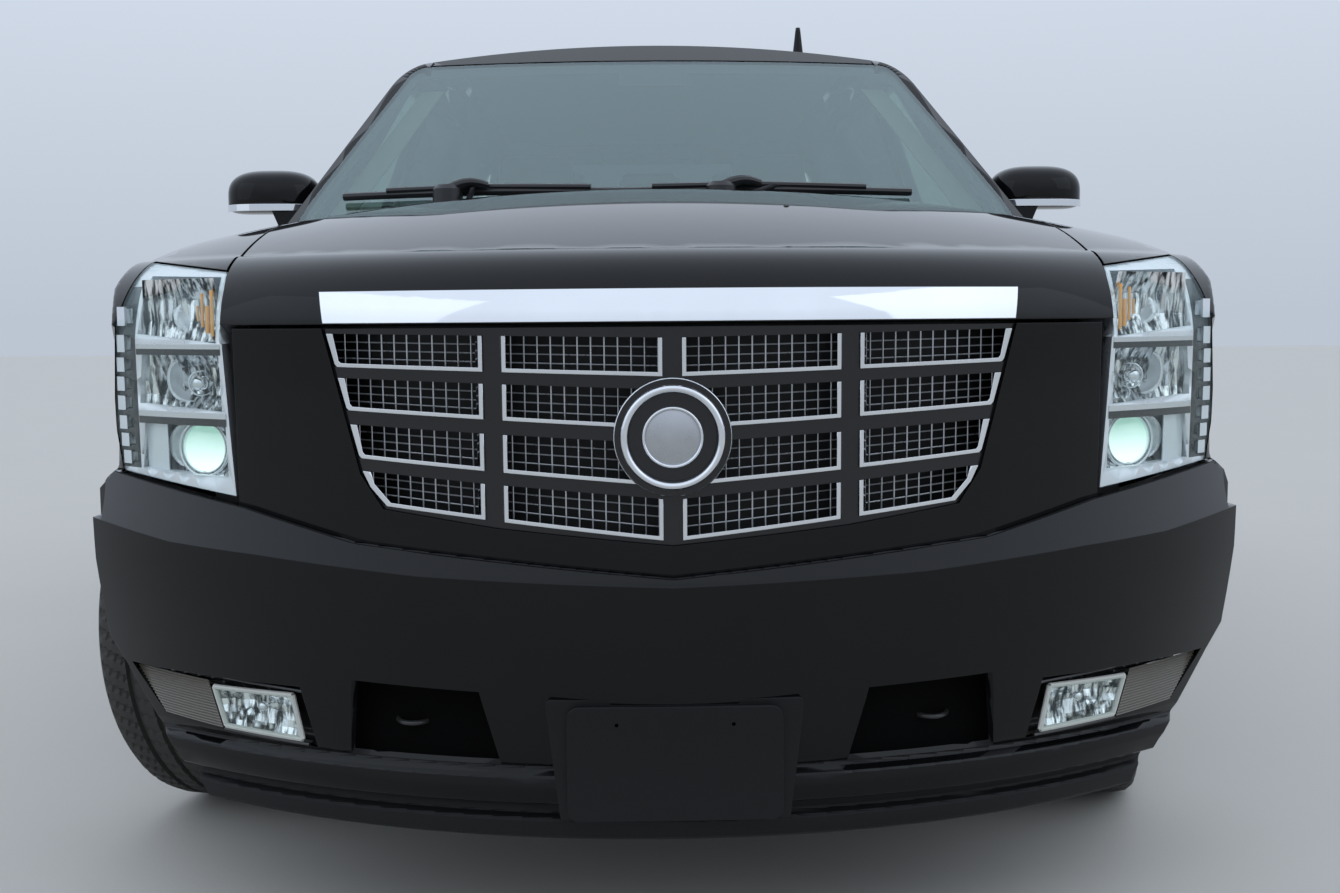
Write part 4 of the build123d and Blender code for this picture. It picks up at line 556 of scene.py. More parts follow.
# The bezel gets painted shade in the column that carries the pale blocks:
# |x| within 0.027 of 0.932 and z within 0.155 of 0.915.
column = bright_bezel.node_tree
where = new_node(column, "TexCoord")
apart = new_node(column, "SeparateXYZ")
side = new_node(column, "Math", operation="ABSOLUTE")
near_x = new_node(column, "Math", {1: 0.932, 2: 0.027}, operation="COMPARE")
near_z = new_node(column, "Math", {1: 0.915, 2: 0.155}, operation="COMPARE")
joint = new_node(column, "Math", operation="MULTIPLY")
bezel_painted_shade = new_node(column, "Mix", {7: (0.05, 0.055, 0.055, 1)}, data_type="RGBA")
bezel_base = column.nodes["Principled BSDF"].inputs["Base Color"]
link_all(column, (where.outputs["Object"], apart.inputs["Vector"]), (apart.outputs["X"], side.inputs[0]),
         (side.outputs[0], near_x.inputs[0]), (apart.outputs["Z"], near_z.inputs[0]),
         (near_x.outputs[0], joint.inputs[0]), (near_z.outputs[0], joint.inputs[1]),
         (joint.outputs[0], bezel_painted_shade.inputs[0]), (bezel_base.links[0].from_socket, bezel_painted_shade.inputs[6]),
         (bezel_painted_shade.outputs[2], bezel_base))
smooth_panel("headlamp_lenses", lamp_cover)
rng = np.random.default_rng(7)


def facets(x0, x1, z0, z1, columns, rows, deep, play, centre, rim=0.018, slant=0.06):
    """A reflector of flat facets, sunk behind the nose's face by rim + deep max(1 - u^2 - v^2, 0) + play.

    u and v are the distances from the bowl's centre in halves of its width and height. The play is
    drawn at random for each inner corner of the grid.
    """
    share_x, share_z = np.meshgrid(np.linspace(0, 1, columns), np.linspace(0, 1, rows), indexing="ij")
    z = z0 + (z1 - z0) * share_z
    x = x0 + (x1 - x0) * share_x + slant * (z - z0) * (1 - share_x)
    off_x = (x - centre[0]) / (0.5 * (x1 - x0))
    off_z = (z - centre[1]) / (0.5 * (z1 - z0))
    inner = (share_x > 0) & (share_x < 1) & (share_z > 0) & (share_z < 1)
    inset = rim + deep * np.clip(1 - off_x ** 2 - off_z ** 2, 0, 1) + play * rng.uniform(0, 1, x.shape) * inner
    front = on_nose(x, z, inset)
    return walled(front, front + (0, 0.0015, 0))


def upright_turn(turn):
    """The matrix that turns points, held as rows, about the upright axis."""
    c, s = math.cos(turn), math.sin(turn)
    return np.array([[c, -s, 0], [s, c, 0], [0, 0, 1]]).T


def aimed(part, centre, turn):
    """A part turned about the upright axis through its centre: p = (p - centre) turned + centre."""
    points, faces = part
    return (np.asarray(points) - centre) @ upright_turn(turn) + centre, faces


top_bowl = facets(0.736, 0.892, 0.976, 1.080, 23, 4, 0.030, 0.012, (0.785, 1.025))
mid_bowl = facets(0.731, 0.894, 0.863, 0.955, 25, 5, 0.034, 0.012, (0.785, 0.906))
low_bowl = facets(0.724, 0.896, 0.752, 0.842, 13, 4, 0.034, 0.004, (0.776, 0.799), rim=0.026)
add_mesh("lamp_reflectors", both_sides([top_bowl, mid_bowl, low_bowl]), reflector, "root", smooth_angle=3.0)
PROJECTOR = (0.776, float(nose_y(0.776, 0.799, 0.026)), 0.799)
LAMP_TURN = math.radians(20.0)
ring = [(0.0470 + 0.0025 * math.cos(a), 0.004 * math.sin(a)) for a in np.linspace(0, 2 * math.pi, 17)]
barrel = [(0.0405, -0.001), (0.0405, 0.020), (0.0425, 0.020), (0.0425, -0.001), (0.0405, -0.001)]
BULB = (0.785, float(nose_y(0.785, 0.906, 0.040)), 0.906)
ball = [(0.014 * math.sin(a), -0.014 * math.cos(a)) for a in np.linspace(0, math.pi, 13)]
collar = [(0.021 + 0.002 * math.cos(a), 0.008 + 0.002 * math.sin(a)) for a in np.linspace(0, 2 * math.pi, 9)]
add_mesh("lamp_rings", both_sides([
    aimed(turned_y(ring, PROJECTOR), PROJECTOR, LAMP_TURN), aimed(turned_y(barrel, PROJECTOR), PROJECTOR, LAMP_TURN),
    turned_y(ball, BULB, 32), turned_y(collar, BULB, 32)]), chrome, "root")
# The lens glows with a painted reflection: pale at its foot and deep green at its top.
lens_painted_glow = finish_of("projector_lens_painted_reflection", (0.45, 0.62, 0.55), (0.60, 0.75, 0.70), 0.05, coat=1.0)
glow = lens_painted_glow.node_tree
place = new_node(glow, "TexCoord")
split = new_node(glow, "SeparateXYZ")
fade = new_node(glow, "MapRange", {"From Min": 0.772, "From Max": 0.826})
tone = new_node(glow, "Mix", {6: (0.85, 1.0, 0.98, 1), 7: (0.22, 0.42, 0.35, 1)}, data_type="RGBA")
link_all(glow, (place.outputs["Object"], split.inputs["Vector"]), (split.outputs["Z"], fade.inputs["Value"]),
         (fade.outputs["Result"], tone.inputs[0]),
         (tone.outputs[2], glow.nodes["Principled BSDF"].inputs["Emission Color"]))
glow.nodes["Principled BSDF"].inputs["Emission Strength"].default_value = 1.0
lens_dome = [(r, -0.010 * (1 - (r / 0.040) ** 2) + 0.004) for r in np.linspace(0, 0.040, 9)]
lens_part = turned_y([*lens_dome, (0.040, 0.010), (0.0, 0.010)], PROJECTOR, 64)
add_mesh("projector_lens", both_sides([aimed(lens_part, PROJECTOR, LAMP_TURN)]), lens_painted_glow, "root")
amber = finish_of("amber_bulb", (0.95, 0.50, 0.14), (0.85, 0.38, 0.08), 0.2, coat=1.0)
streak_parts = []
for x, z0, z1, thick in ((0.748, 0.985, 1.060, 0.0030), (0.757, 0.990, 1.035, 0.0040), (0.767, 1.000, 1.055, 0.0025),
                         (0.776, 1.010, 1.035, 0.0020)):
    z = np.linspace(z0, z1, 12)
    streak_parts.append(tube(on_nose(x + 0 * z, z, 0.022), thick, 10))
add_mesh("signal_filters", both_sides(streak_parts), amber, "root")


pale_block = finish_of("pale_lamp_block", (0.86, 0.89, 0.93), (0.78, 0.81, 0.85), 0.15, metal=0.3, patch=30.0)


def slab(x0, x1, z0, z1, inset0, inset1, cells=6):
    """A thin plate that follows the nose's face between two insets."""
    share_x, share_z = np.meshgrid(np.linspace(x0, x1, cells), np.linspace(z0, z1, 2), indexing="ij")
    return walled(on_nose(share_x, share_z, inset0), on_nose(share_x, share_z, inset1))


blocks, backs = [], []
for i in range(8):
    low, high = np.interp([0.7735 + i * 0.036, 0.7925 + i * 0.036], *HOUSING_Z)
    x0 = 0.912 + 0.008 * math.sin(math.pi * i / 7)
    blocks.append(slab(x0 + 0.015, x0 + 0.033, low - 0.004, high + 0.003, 0.0025, 0.012))
    backs.append(slab(x0 + 0.001, x0 + 0.017, low, high, 0.012, 0.016))
BAR_END = 0.904
bars = [slab(x0, BAR_END, z0, z1, 0.0022, 0.016, 21)
        for x0, z0, z1 in ((0.728, 0.9640, 0.9725), (0.722, 0.8500, 0.8600))]
# Under each chrome bar a thin dark strip is a painted shadow of the bar.
lines = [slab(x0, BAR_END, z0, z1, 0.0025, 0.016, 21)
         for x0, z0, z1 in ((0.728, 0.9540, 0.9640), (0.722, 0.8380, 0.8500))]
add_mesh("lamp_blocks", both_sides(blocks), pale_block, "root")
add_mesh("lamp_block_backs", both_sides(backs), reflector, "root")
add_mesh("lamp_bars", both_sides(bars), chrome, "root")
add_mesh("lamp_bar_lines", both_sides(lines), bar_shadow_finish, "root")
# Beside each projector a pale plate is a painted reflection of the bright sky in the chamber's side.
add_mesh("lamp_plates", both_sides([slab(0.846, 0.892, 0.758, 0.838, 0.012, 0.016)]), pale_block, "root")


# Fog lamps: a small faceted lamp with a pale frame under a clear cover, beside a ribbed panel.
gloss_grey = finish_of("dark_lamp_housing", (0.012, 0.012, 0.012), (0.02, 0.02, 0.02), 0.3, coat=0.5)
FOG_FLOOR_R = 1.362
fog_housing = smooth_panel("fog_lamps", gloss_grey)
fog_points = coordinates(fog_housing)
fog_reach = np.hypot(fog_points[:, 0], fog_points[:, 1] - NOSE_Y)
set_reach(fog_housing, fog_points, np.minimum(fog_reach, FOG_FLOOR_R))
FOG_LAMP = [(0.596, 0.339), (0.738, 0.343), (0.760, 0.405), (0.612, 0.409)]
BUMPER_R = 1.402


def bumper_y(x, inset):
    """The bumper's face at lamp height, moved inwards: y = axis - sqrt((R - inset)^2 - x^2)."""
    return NOSE_Y - np.sqrt((BUMPER_R - inset) ** 2 - x ** 2)


def on_bumper(x, z, inset):
    """Points of the bumper's face, moved inwards by the inset, for their places in the front view."""
    return np.stack([x, bumper_y(x, inset), z], axis=-1)


def on_quad(corners, nu, nv, grow=0.0):
    """Front view points of a four-cornered field, shrunk or grown about its middle.

    They run evenly between the corners: p = (1 - v) (low edge at u) + v (high edge at u).
    """
    corners = np.asarray(corners, float)
    corners = corners.mean(axis=0) + (corners - corners.mean(axis=0)) * (1 + grow)
    u, v = np.meshgrid(np.linspace(0, 1, nu), np.linspace(0, 1, nv), indexing="ij")
    low = corners[0] * (1 - u[..., None]) + corners[1] * u[..., None]
    high = corners[3] * (1 - u[..., None]) + corners[2] * u[..., None]
    flat = low * (1 - v[..., None]) + high * v[..., None]
    return flat[..., 0], flat[..., 1], u, v


x, z, u, v = on_quad(FOG_LAMP, 12, 7)
inner = (u > 0) & (u < 1) & (v > 0) & (v < 1)
bulge = np.clip(1 - (2 * u - 1) ** 2 - (2 * v - 1) ** 2, 0, 1)
sunk = 0.010 + 0.016 * bulge + 0.010 * rng.uniform(0, 1, u.shape) * inner
bowl = on_bumper(x, z, sunk)
add_mesh("fog_reflectors", both_sides([walled(bowl, bowl + (0, 0.0015, 0))]), reflector, "root", smooth_angle=3.0)
frame_bars = []
for first, second in zip(FOG_LAMP, FOG_LAMP[1:] + FOG_LAMP[:1]):
    line = np.linspace(first, second, 12)
    frame_bars.append(tube(on_bumper(line[:, 0], line[:, 1], 0.006), 0.0045, 8))
pale_frame = finish_of("pale_lamp_frame", (0.55, 0.54, 0.50), (0.62, 0.61, 0.57), 0.35, patch=20.0)
add_mesh("fog_frames", both_sides(frame_bars), pale_frame, "root")
x, z = on_quad(FOG_LAMP, 12, 7, 0.02)[:2]
pane_points = [on_bumper(x, z, inset) for inset in (0.0, 0.002)]
add_mesh("fog_covers", both_sides([walled(*pane_points)]), lamp_cover, "root")
FOG_BULB = (0.668, float(bumper_y(0.668, 0.012)), 0.383)
add_mesh("fog_bulbs", both_sides([turned_y([(0.6 * r, 0.6 * y) for r, y in ball], FOG_BULB, 24)]), chrome, "root")
ribbed = finish_of("ribbed_grey_panel", (0.10, 0.090, 0.072), (0.14, 0.125, 0.10), 0.3, coat=0.7)
x, z, u, v = on_quad([(0.745, 0.339), (0.864, 0.346), (0.926, 0.420), (0.772, 0.415)], 24, 97)
ribs = 0.004 + 0.0025 * (0.5 - 0.5 * np.cos(2 * math.pi * 16 * v))
ribs_points = on_bumper(x, z, ribs)
add_mesh("fog_side_panels", both_sides([walled(ribs_points, ribs_points + (0, 0.004, 0))]), ribbed, "root")
rim_lines = []
for z_ends in ((0.3305, 0.3365), (0.4155, 0.4225)):
    rim_lines.append(tube(on_bumper(np.linspace(0.585, 0.742, 12), np.linspace(*z_ends, 12), 0.010), 0.003, 8))
add_mesh("fog_surrounds", both_sides(rim_lines), gloss_grey, "root")


# Air dam, number plate's place and tow hooks: grained plastic below the painted bumper, a blank
# plate holder, forged hooks in their recesses, and painted shade lining each recess.
grained_plastic = finish_of("grained_black_plastic", (0.005, 0.005, 0.0055), (0.009, 0.009, 0.0095), 0.5,
                            shine=0.25, grain=0.35, grain_size=700.0, pebbled=True)
DAM_TOP = 0.262
PLATE_TOP, PLATE_HALF, PLATE_REAR = 0.432, 0.199, -2.495
bumper = bpy.data.objects["front_bumper_surface"]
bumper_mesh = bumper.data
bumper_mesh.materials.append(grained_plastic)
face_start = np.empty(len(bumper_mesh.polygons), np.int32)
bumper_mesh.polygons.foreach_get("loop_start", face_start)
face_corner = np.empty(len(bumper_mesh.loops), np.int32)
bumper_mesh.loops.foreach_get("vertex_index", face_corner)
corner_at = coordinates(bumper)[face_corner]
face_top = np.maximum.reduceat(corner_at[:, 2], face_start)
face_side = np.maximum.reduceat(np.abs(corner_at[:, 0]), face_start)
face_back = np.maximum.reduceat(corner_at[:, 1], face_start)
on_plate = (face_top < PLATE_TOP) & (face_side < PLATE_HALF) & (face_back < PLATE_REAR)
bumper_mesh.polygons.foreach_set("material_index", ((face_top < DAM_TOP) | on_plate).astype(np.int32))
hook_steel = finish_of("forged_hook", (0.02, 0.02, 0.02), (0.03, 0.03, 0.03), 0.3, grain=0.3, grain_size=300)
turn = np.linspace(0, 2 * math.pi, 48, endpoint=False)
HOOK = (0.4116, float(bumper_y(0.4116, 0.060)), 0.377)
loop = np.stack([HOOK[0] + 0.027 * np.cos(turn), HOOK[1] + 0.032 * np.sin(turn), HOOK[2] + 0.002 * np.sin(turn)],
                axis=-1)
shank = np.array([HOOK]) + np.array([(0, 0.030, -0.004), (0, 0.050, -0.008), (0, 0.075, -0.012)])
add_mesh("tow_hooks", both_sides([tube(loop, 0.0042, 12, closed=True), tube(shank, 0.008, 12)]), hook_steel, "root")
# Behind each hook a near-black matte sheet lines the recess: painted shade for its dark inside.
painted_recess_shade = finish_of("painted_recess_shade", (0.0015, 0.0015, 0.0015), (0.003, 0.003, 0.003), 0.8, shine=0.05)
x, z = on_quad([(0.275, 0.300), (0.540, 0.300), (0.540, 0.440), (0.275, 0.440)], 23, 3)[:2]
recess_shade_faces = [on_bumper(x, z, inset) for inset in (0.046, 0.049)]
add_mesh("recess_liners", both_sides([walled(*recess_shade_faces)]), painted_recess_shade, "root")


# Plain trim: cowl, wipers, running boards, arch liners and radiator, in grained plastic.
# Each wiper is an arm on a capped pivot, bowed down to a long rubber strip with a spring on it.
for trim in ("cowl", "wipers", "running_boards", "arch_liners", "radiator"):
    smooth_panel(trim, grained_plastic)
wiper_black = finish_of("wiper_black", (0.008, 0.008, 0.009), (0.014, 0.014, 0.015), 0.35, grain=0.2, grain_size=500)
RISE = math.sin(SCREEN_SLOPE)
wiper_parts = []
for pivot_x, right_x, left_x in ((-0.505, -0.050, -0.770), (0.150, 0.620, -0.130)):
    knee = on_screen(np.array(pivot_x), SCREEN_FOOT_Z + 0.070 * RISE, 0.030)
    middle = on_screen(np.array((right_x + left_x) / 2), SCREEN_FOOT_Z + 0.095 * RISE, 0.030)
    cap = [(0.0, 0.016), (0.026, 0.014), (0.036, 0.004), (0.037, -0.028), (0.0, -0.030)]
    ring_points, ring_faces = turned_y(cap, (0, 0, 0), 24)
    wiper_parts.append((ring_points[:, [0, 2, 1]] + knee, ring_faces))
    along = np.linspace(0, 1, 24)[:, None]
    arch = np.array([0, -0.5, 0.86]) * 0.014 * np.sin(math.pi * along)
    wiper_parts.append(tube(knee * (1 - along) + middle * along + arch, np.linspace(0.015, 0.009, 24), 10))
    x = np.linspace(left_x, right_x, 40)
    strip = on_screen(x, SCREEN_FOOT_Z + (0.085 + 0.010 * (1 - np.abs(np.linspace(-1, 1, 40)))) * RISE, 0.014)
    wiper_parts.append(tube(strip, 0.0095, 8))
    spring = on_screen(x[6:-6], SCREEN_FOOT_Z + (0.090 + 0.010 * (1 - np.abs(np.linspace(-1, 1, 28)))) * RISE, 0.024)
    wiper_parts.append(tube(spring, 0.0080, 8))
add_mesh("wiper_arms", wiper_parts, wiper_black, "root")


# Door mirrors: rounded shells on a foot, painted, with a silvered glass and a chrome strip
# along the lower edge. The shell's outline is a superellipse that closes towards the front.
MIRROR = (0.991, -0.760, 1.325)
MIRROR_HALF = 0.118
MIRROR_DEPTH = 0.100
mirror_silver = finish_of("mirror_silver", (0.82, 0.84, 0.85), (0.78, 0.80, 0.81), 0.02, metal=1.0)


def power(value, exponent):
    """A power that keeps the sign."""
    return np.sign(value) * np.abs(value) ** exponent


def mirror_front(share):
    """How far the shell reaches at a share of its half width from the middle, from 0 to 1."""
    return (1 - np.abs(share) ** 2.8) ** (1 / 2.8)


turn = np.linspace(0, 2 * math.pi, 72, endpoint=False)[:, None]
depth = np.linspace(0, 1, 20)[None, :]
shrink = (1 - (1 - depth) ** 2.6) ** (1 / 2.6)
upper_half = np.sin(turn) >= 0
shell_x = MIRROR[0] + MIRROR_HALF * power(np.cos(turn), np.where(upper_half, 2 / 3.0, 2 / 6.0)) * shrink
shell_height = np.where(upper_half, 0.071, 0.041) * power(np.sin(turn), np.where(upper_half, 2 / 2.7, 2 / 7.0))
shell_z = MIRROR[2] + shell_height * shrink
shell_y = MIRROR[1] - MIRROR_DEPTH * (1 - depth) + 0 * turn
shell = np.stack([shell_x, shell_y, shell_z], axis=-1)
lip = shell[:, -1:] + (0, -0.004, 0) + (MIRROR - shell[:, -1:]) * (0.06, 0, 0.10)
rim = np.concatenate([shell, lip], axis=1)
middle = rim[:, -1:] * (0, 1, 0) + np.array([MIRROR[0], 0, MIRROR[2]])
closed_shell = np.concatenate([rim, middle], axis=1)
shell_part = (closed_shell.reshape(-1, 3), grid_faces(72, closed_shell.shape[1], True, False))
foot_front = np.array([[(0.862, 1.183), (0.940, 1.183)], [(0.915, 1.290), (0.985, 1.290)]])
foot_part = walled(*[np.stack([foot_front[..., 0], y + 0 * foot_front[..., 0], foot_front[..., 1]], axis=-1)
                     for y in (-0.842, -0.784)])
strip_x, strip_z = np.meshgrid(np.linspace(-0.97, 0.97, 48), np.linspace(1.2875, 1.3045, 4), indexing="ij")
strip_y = MIRROR[1] - MIRROR_DEPTH * mirror_front(strip_x)
strip = [np.stack([MIRROR[0] + MIRROR_HALF * strip_x, strip_y + back, strip_z], axis=-1) for back in (-0.0015, 0.004)]
glass_x = MIRROR[0] + 0.93 * (shell_x[:, -1:] - MIRROR[0])
glass_z = MIRROR[2] + 0.90 * (shell_z[:, -1:] - MIRROR[2])
glass_y = MIRROR[1] - 0.003 + 0 * glass_x
glass_rim = np.stack([glass_x, glass_y, glass_z], axis=-1)
glass_points = np.concatenate([glass_rim, glass_rim * (0, 1, 0) + np.array([MIRROR[0], 0, MIRROR[2]])], axis=1)
glass_part = (glass_points.reshape(-1, 3), grid_faces(72, 2, True, False))
MIRROR_PARTS = (("shell", shell_part, paint), ("foot", foot_part, paint), ("strip", walled(*strip), chrome),
                ("glass", glass_part, mirror_silver))
for mirror_side, door, turned_over in (("left", "door_front_left", False), ("right", "door_front_right", True)):
    for name, part, material in MIRROR_PARTS:
        held = flipped(part) if turned_over else part
        piece = add_mesh(f"mirror_{mirror_side}_{name}", [held], material, door, closed=name != "glass")
        if name == "shell":
            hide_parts("mirror_" + mirror_side)


# Door handles: plated pulls on the doors' skin. They are part of the frame's doors, so the faces
# that lie furthest out at their height take the plating.
def face_centres(mesh):
    """The middle of each face as an array."""
    centres = np.empty(len(mesh.polygons) * 3)
    mesh.polygons.foreach_get("center", centres)
    return centres.reshape(-1, 3)


SKIN_HALF = 1.0065
HANDLE_LOW, HANDLE_HIGH = 0.98, 1.02
for door in DOORS:
    skin = bpy.data.objects[door + "_surface"].data
    skin.materials.append(chrome)
    centres = face_centres(skin)
    at_height = (centres[:, 2] > HANDLE_LOW) & (centres[:, 2] < HANDLE_HIGH)
    on_handle = (np.abs(centres[:, 0]) > SKIN_HALF) & at_height
    skin.polygons.foreach_set("material_index", on_handle.astype(np.int32))


# Tail lamps: moulded covers over the rear corners, deep red, with a clear band for the reversing
# lamp. The band is a height at which the colour changes.
red_lens = finish_of("red_lamp_lens", (0.35, 0.01, 0.01), (0.25, 0.01, 0.01), 0.08, coat=1.0)
red_tree = red_lens.node_tree
where = new_node(red_tree, "TexCoord")
apart = new_node(red_tree, "SeparateXYZ")
band = new_node(red_tree, "Math", {1: 1.03, 2: 0.035}, operation="COMPARE")
cover = new_node(red_tree, "Mix", {7: (0.75, 0.74, 0.72, 1)}, data_type="RGBA")
red_base = red_tree.nodes["Principled BSDF"].inputs["Base Color"]
link_all(red_tree, (red_base.links[0].from_socket, cover.inputs[6]), (where.outputs["Object"], apart.inputs["Vector"]),
         (apart.outputs["Z"], band.inputs[0]), (band.outputs[0], cover.inputs[0]), (cover.outputs[2], red_base))
smooth_panel("tail_lamps", red_lens)


# Wheels: rubber tyres with a grooved tread and ribbed sidewalls, on plated rims with steel brake
# discs. The tyre's profile runs from bead to bead, and the tread's radius falls in the grooves:
# r = R - the larger of the round grooves g(x) and the cuts across h(x, turn).
rubber = finish_of("tyre_rubber", (0.026, 0.025, 0.023), (0.045, 0.042, 0.037), 0.7, grain=0.3, grain_size=400.0)
rim_chrome = finish_of("rim_chrome", (0.66, 0.68, 0.71), (0.74, 0.76, 0.79), 0.09, metal=1.0, patch=9.0, edge=0.002)
disc_steel = finish_of("brake_disc_steel", (0.30, 0.29, 0.28), (0.38, 0.36, 0.34), 0.3, metal=1.0, grain=0.2)
TYRE_R = 0.4075
SIDE = [(0.284, 0.112), (0.297, 0.112), (0.300, 0.124), (0.325, 0.1338), (0.345, 0.1405), (0.370, 0.1425),
        (0.390, 0.1365), (0.402, 0.122)]
BLOCKS = 72
side_r, side_x = np.array(SIDE).T
run = np.concatenate([[0], np.cumsum(np.hypot(np.diff(side_r), np.diff(side_x)))])
steps = np.linspace(0, run[-1], 26)
wall_r, wall_x = np.interp(steps, run, side_r), np.interp(steps, run, side_x)
tread_x = np.linspace(0.115, -0.115, 70)
tread_r = TYRE_R - 0.0035 * np.clip((np.abs(tread_x) - 0.098) / 0.017, 0, 1)
profile_r = np.concatenate([wall_r, tread_r, wall_r[::-1]])
profile_x = np.concatenate([wall_x, tread_x, -wall_x[::-1]])
around = np.linspace(0, 2 * math.pi, BLOCKS * 6, endpoint=False)[:, None]
grooved = np.zeros(len(profile_x))
for groove_x in (-0.066, -0.023, 0.023, 0.066):
    grooved = np.maximum(grooved, (np.abs(profile_x - groove_x) < 0.0052) * 0.0075)
block_turn = (around * BLOCKS / (2 * math.pi) + profile_x[None, :] * 12) % 1.0
shoulder_cut = (block_turn < 0.30) * (np.abs(profile_x) > 0.072) * (profile_r > 0.396) * 0.005
rib_cut = (block_turn < 0.17) * (np.abs(profile_x) < 0.060) * (profile_r > 0.40) * 0.003
ribs = 0.0008 * (np.sin(profile_r * 2 * math.pi / 0.009) > 0.2) * (profile_r > 0.305) * (profile_r < 0.392)
radius = profile_r - np.maximum(grooved, shoulder_cut + rib_cut)
wheel_x = profile_x - np.sign(profile_x) * ribs + 0 * around
tyre_points = np.stack([wheel_x, radius * np.cos(around), radius * np.sin(around)], axis=-1)
tyre_part = (tyre_points.reshape(-1, 3), grid_faces(len(around), len(profile_x), True, True))


def turned_x(profile, centre, around_count=32):
    """A form turned about an axis along X: (radius, x) profile points swept full circle."""
    profile = np.asarray(profile, float)
    turn = np.linspace(0, 2 * math.pi, around_count, endpoint=False)[:, None]
    y = centre[1] + profile[None, :, 0] * np.cos(turn)
    z = centre[2] + profile[None, :, 0] * np.sin(turn)
    x = centre[0] + profile[None, :, 1] + 0 * turn
    return np.stack([x, y, z], axis=-1).reshape(-1, 3), grid_faces(around_count, len(profile), True, False)


LUG_RING = 0.060
nut = [(0.0, 0.099), (0.006, 0.0985), (0.0095, 0.095), (0.0098, 0.083), (0.0, 0.083)]
nuts = [turned_x(nut, (0, LUG_RING * math.cos(i * math.pi / 3), LUG_RING * math.sin(i * math.pi / 3)), 6)
        for i in range(6)]
cap = [(0.0, 0.1115), (0.020, 0.1112), (0.033, 0.1100), (0.038, 0.1075), (0.038, 0.100), (0.0, 0.100)]
cap_ring = [(0.0405 + 0.002 * math.cos(t), 0.108 + 0.002 * math.sin(t)) for t in np.linspace(0, 2 * math.pi, 13)]
hub_parts = [*nuts, turned_x(cap, (0, 0, 0), 48), turned_x(cap_ring, (0, 0, 0), 48)]


def at_wheel(part, side, place, turn):
    """A part drawn about the wheel's centre, put on a side: p = p turned about the upright + place."""
    points, faces = part if side > 0 else flipped(part)
    return np.asarray(points) @ upright_turn(turn) + np.asarray(place), faces


def in_wheel(points, side, place, turn):
    """For each point how far it lies outwards along the axle, level across it, and above it."""
    local = points - np.asarray(place)
    out = side * (local[:, 0] * math.cos(turn) + local[:, 1] * math.sin(turn))
    return out, -local[:, 0] * math.sin(turn) + local[:, 1] * math.cos(turn), local[:, 2]


REST_TURN = math.radians(-15.0)
# The rim's stub shaft tapers inboard from the frame's own radius to one 3 % smaller, to leave room
# between its flat-sided mesh and the flat-sided bore that it turns in.
SHAFT_PLAY = 0.03
SHAFT_END, SHAFT_R = -0.021, 0.027
DISC_FACE, DISC_R = 0.043, 0.168
SCRUB = 0.066
FRONT_AXLE_Y, REAR_AXLE_Y = -1.566, 1.380
KINGPIN_X, REAR_HUB_X = 0.800, 0.851
hub_x, hub_shift = KINGPIN_X + SCRUB * math.cos(REST_TURN), SCRUB * math.sin(REST_TURN)
WHEELS = (
    # corner, side, place, turn
    ("front_left", 1, (hub_x, FRONT_AXLE_Y + hub_shift, TYRE_R), REST_TURN),
    ("front_right", -1, (-hub_x, FRONT_AXLE_Y - hub_shift, TYRE_R), REST_TURN),
    ("rear_left", 1, (REAR_HUB_X, REAR_AXLE_Y, TYRE_R), 0.0),
    ("rear_right", -1, (-REAR_HUB_X, REAR_AXLE_Y, TYRE_R), 0.0),
)
for corner, side, place, turn in WHEELS:
    carrier = "wheel_" + corner
    tread = add_mesh("tyre_" + corner + "_tread", [at_wheel(tyre_part, side, place, turn)], rubber, carrier)
    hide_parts("tyre_" + corner)
    add_mesh("hub_" + corner, [at_wheel(part, side, place, turn) for part in hub_parts], rim_chrome, carrier)
    rim = smooth_panel("rim_" + corner, rim_chrome)
    rim.data.materials.append(disc_steel)
    out, level, high = in_wheel(coordinates(rim), side, place, turn)
    shaft = (out < SHAFT_END) & (np.hypot(level, high) < SHAFT_R)
    thinner = np.where(shaft, 1 - SHAFT_PLAY, 1.0)
    level *= thinner
    rim_points = np.stack([side * out * math.cos(turn) - level * math.sin(turn),
                           side * out * math.sin(turn) + level * math.cos(turn), high * thinner], axis=-1)
    move_points(rim, rim_points + place)
    out, level, high = in_wheel(face_centres(rim.data), side, place, turn)
    on_disc = (out < DISC_FACE) & (np.hypot(level, high) < DISC_R)
    rim.data.polygons.foreach_set("material_index", on_disc.astype(np.int32))


# Dashboard and steering wheel: foam-backed trim on a moulded carrier, and a steel wheel wrapped
# in leather. Both are the frame's own forms, seen through the glass.
soft_trim = finish_of("soft_dash_trim", (0.035, 0.033, 0.030), (0.05, 0.047, 0.043), 0.6, grain=0.3, pebbled=True)
wheel_leather = finish_of("wheel_leather", (0.030, 0.028, 0.026), (0.045, 0.042, 0.038), 0.4, grain=0.4, grain_size=600,
                          pebbled=True)
smooth_panel("dashboard", soft_trim)
smooth_panel("steering_wheel", wheel_leather)


# Seats: leather over foam. Each has a cushion, a back and a head restraint, crowned forms
# whose channels are drawn in by stitching: a superellipsoid |x/a|^p + |y/b|^p + |z/c|^p = 1
# with its faces raised towards the middle.
leather = finish_of("seat_leather", (0.090, 0.074, 0.056), (0.12, 0.10, 0.078), 0.45, grain=0.5, grain_size=500,
                    pebbled=True)


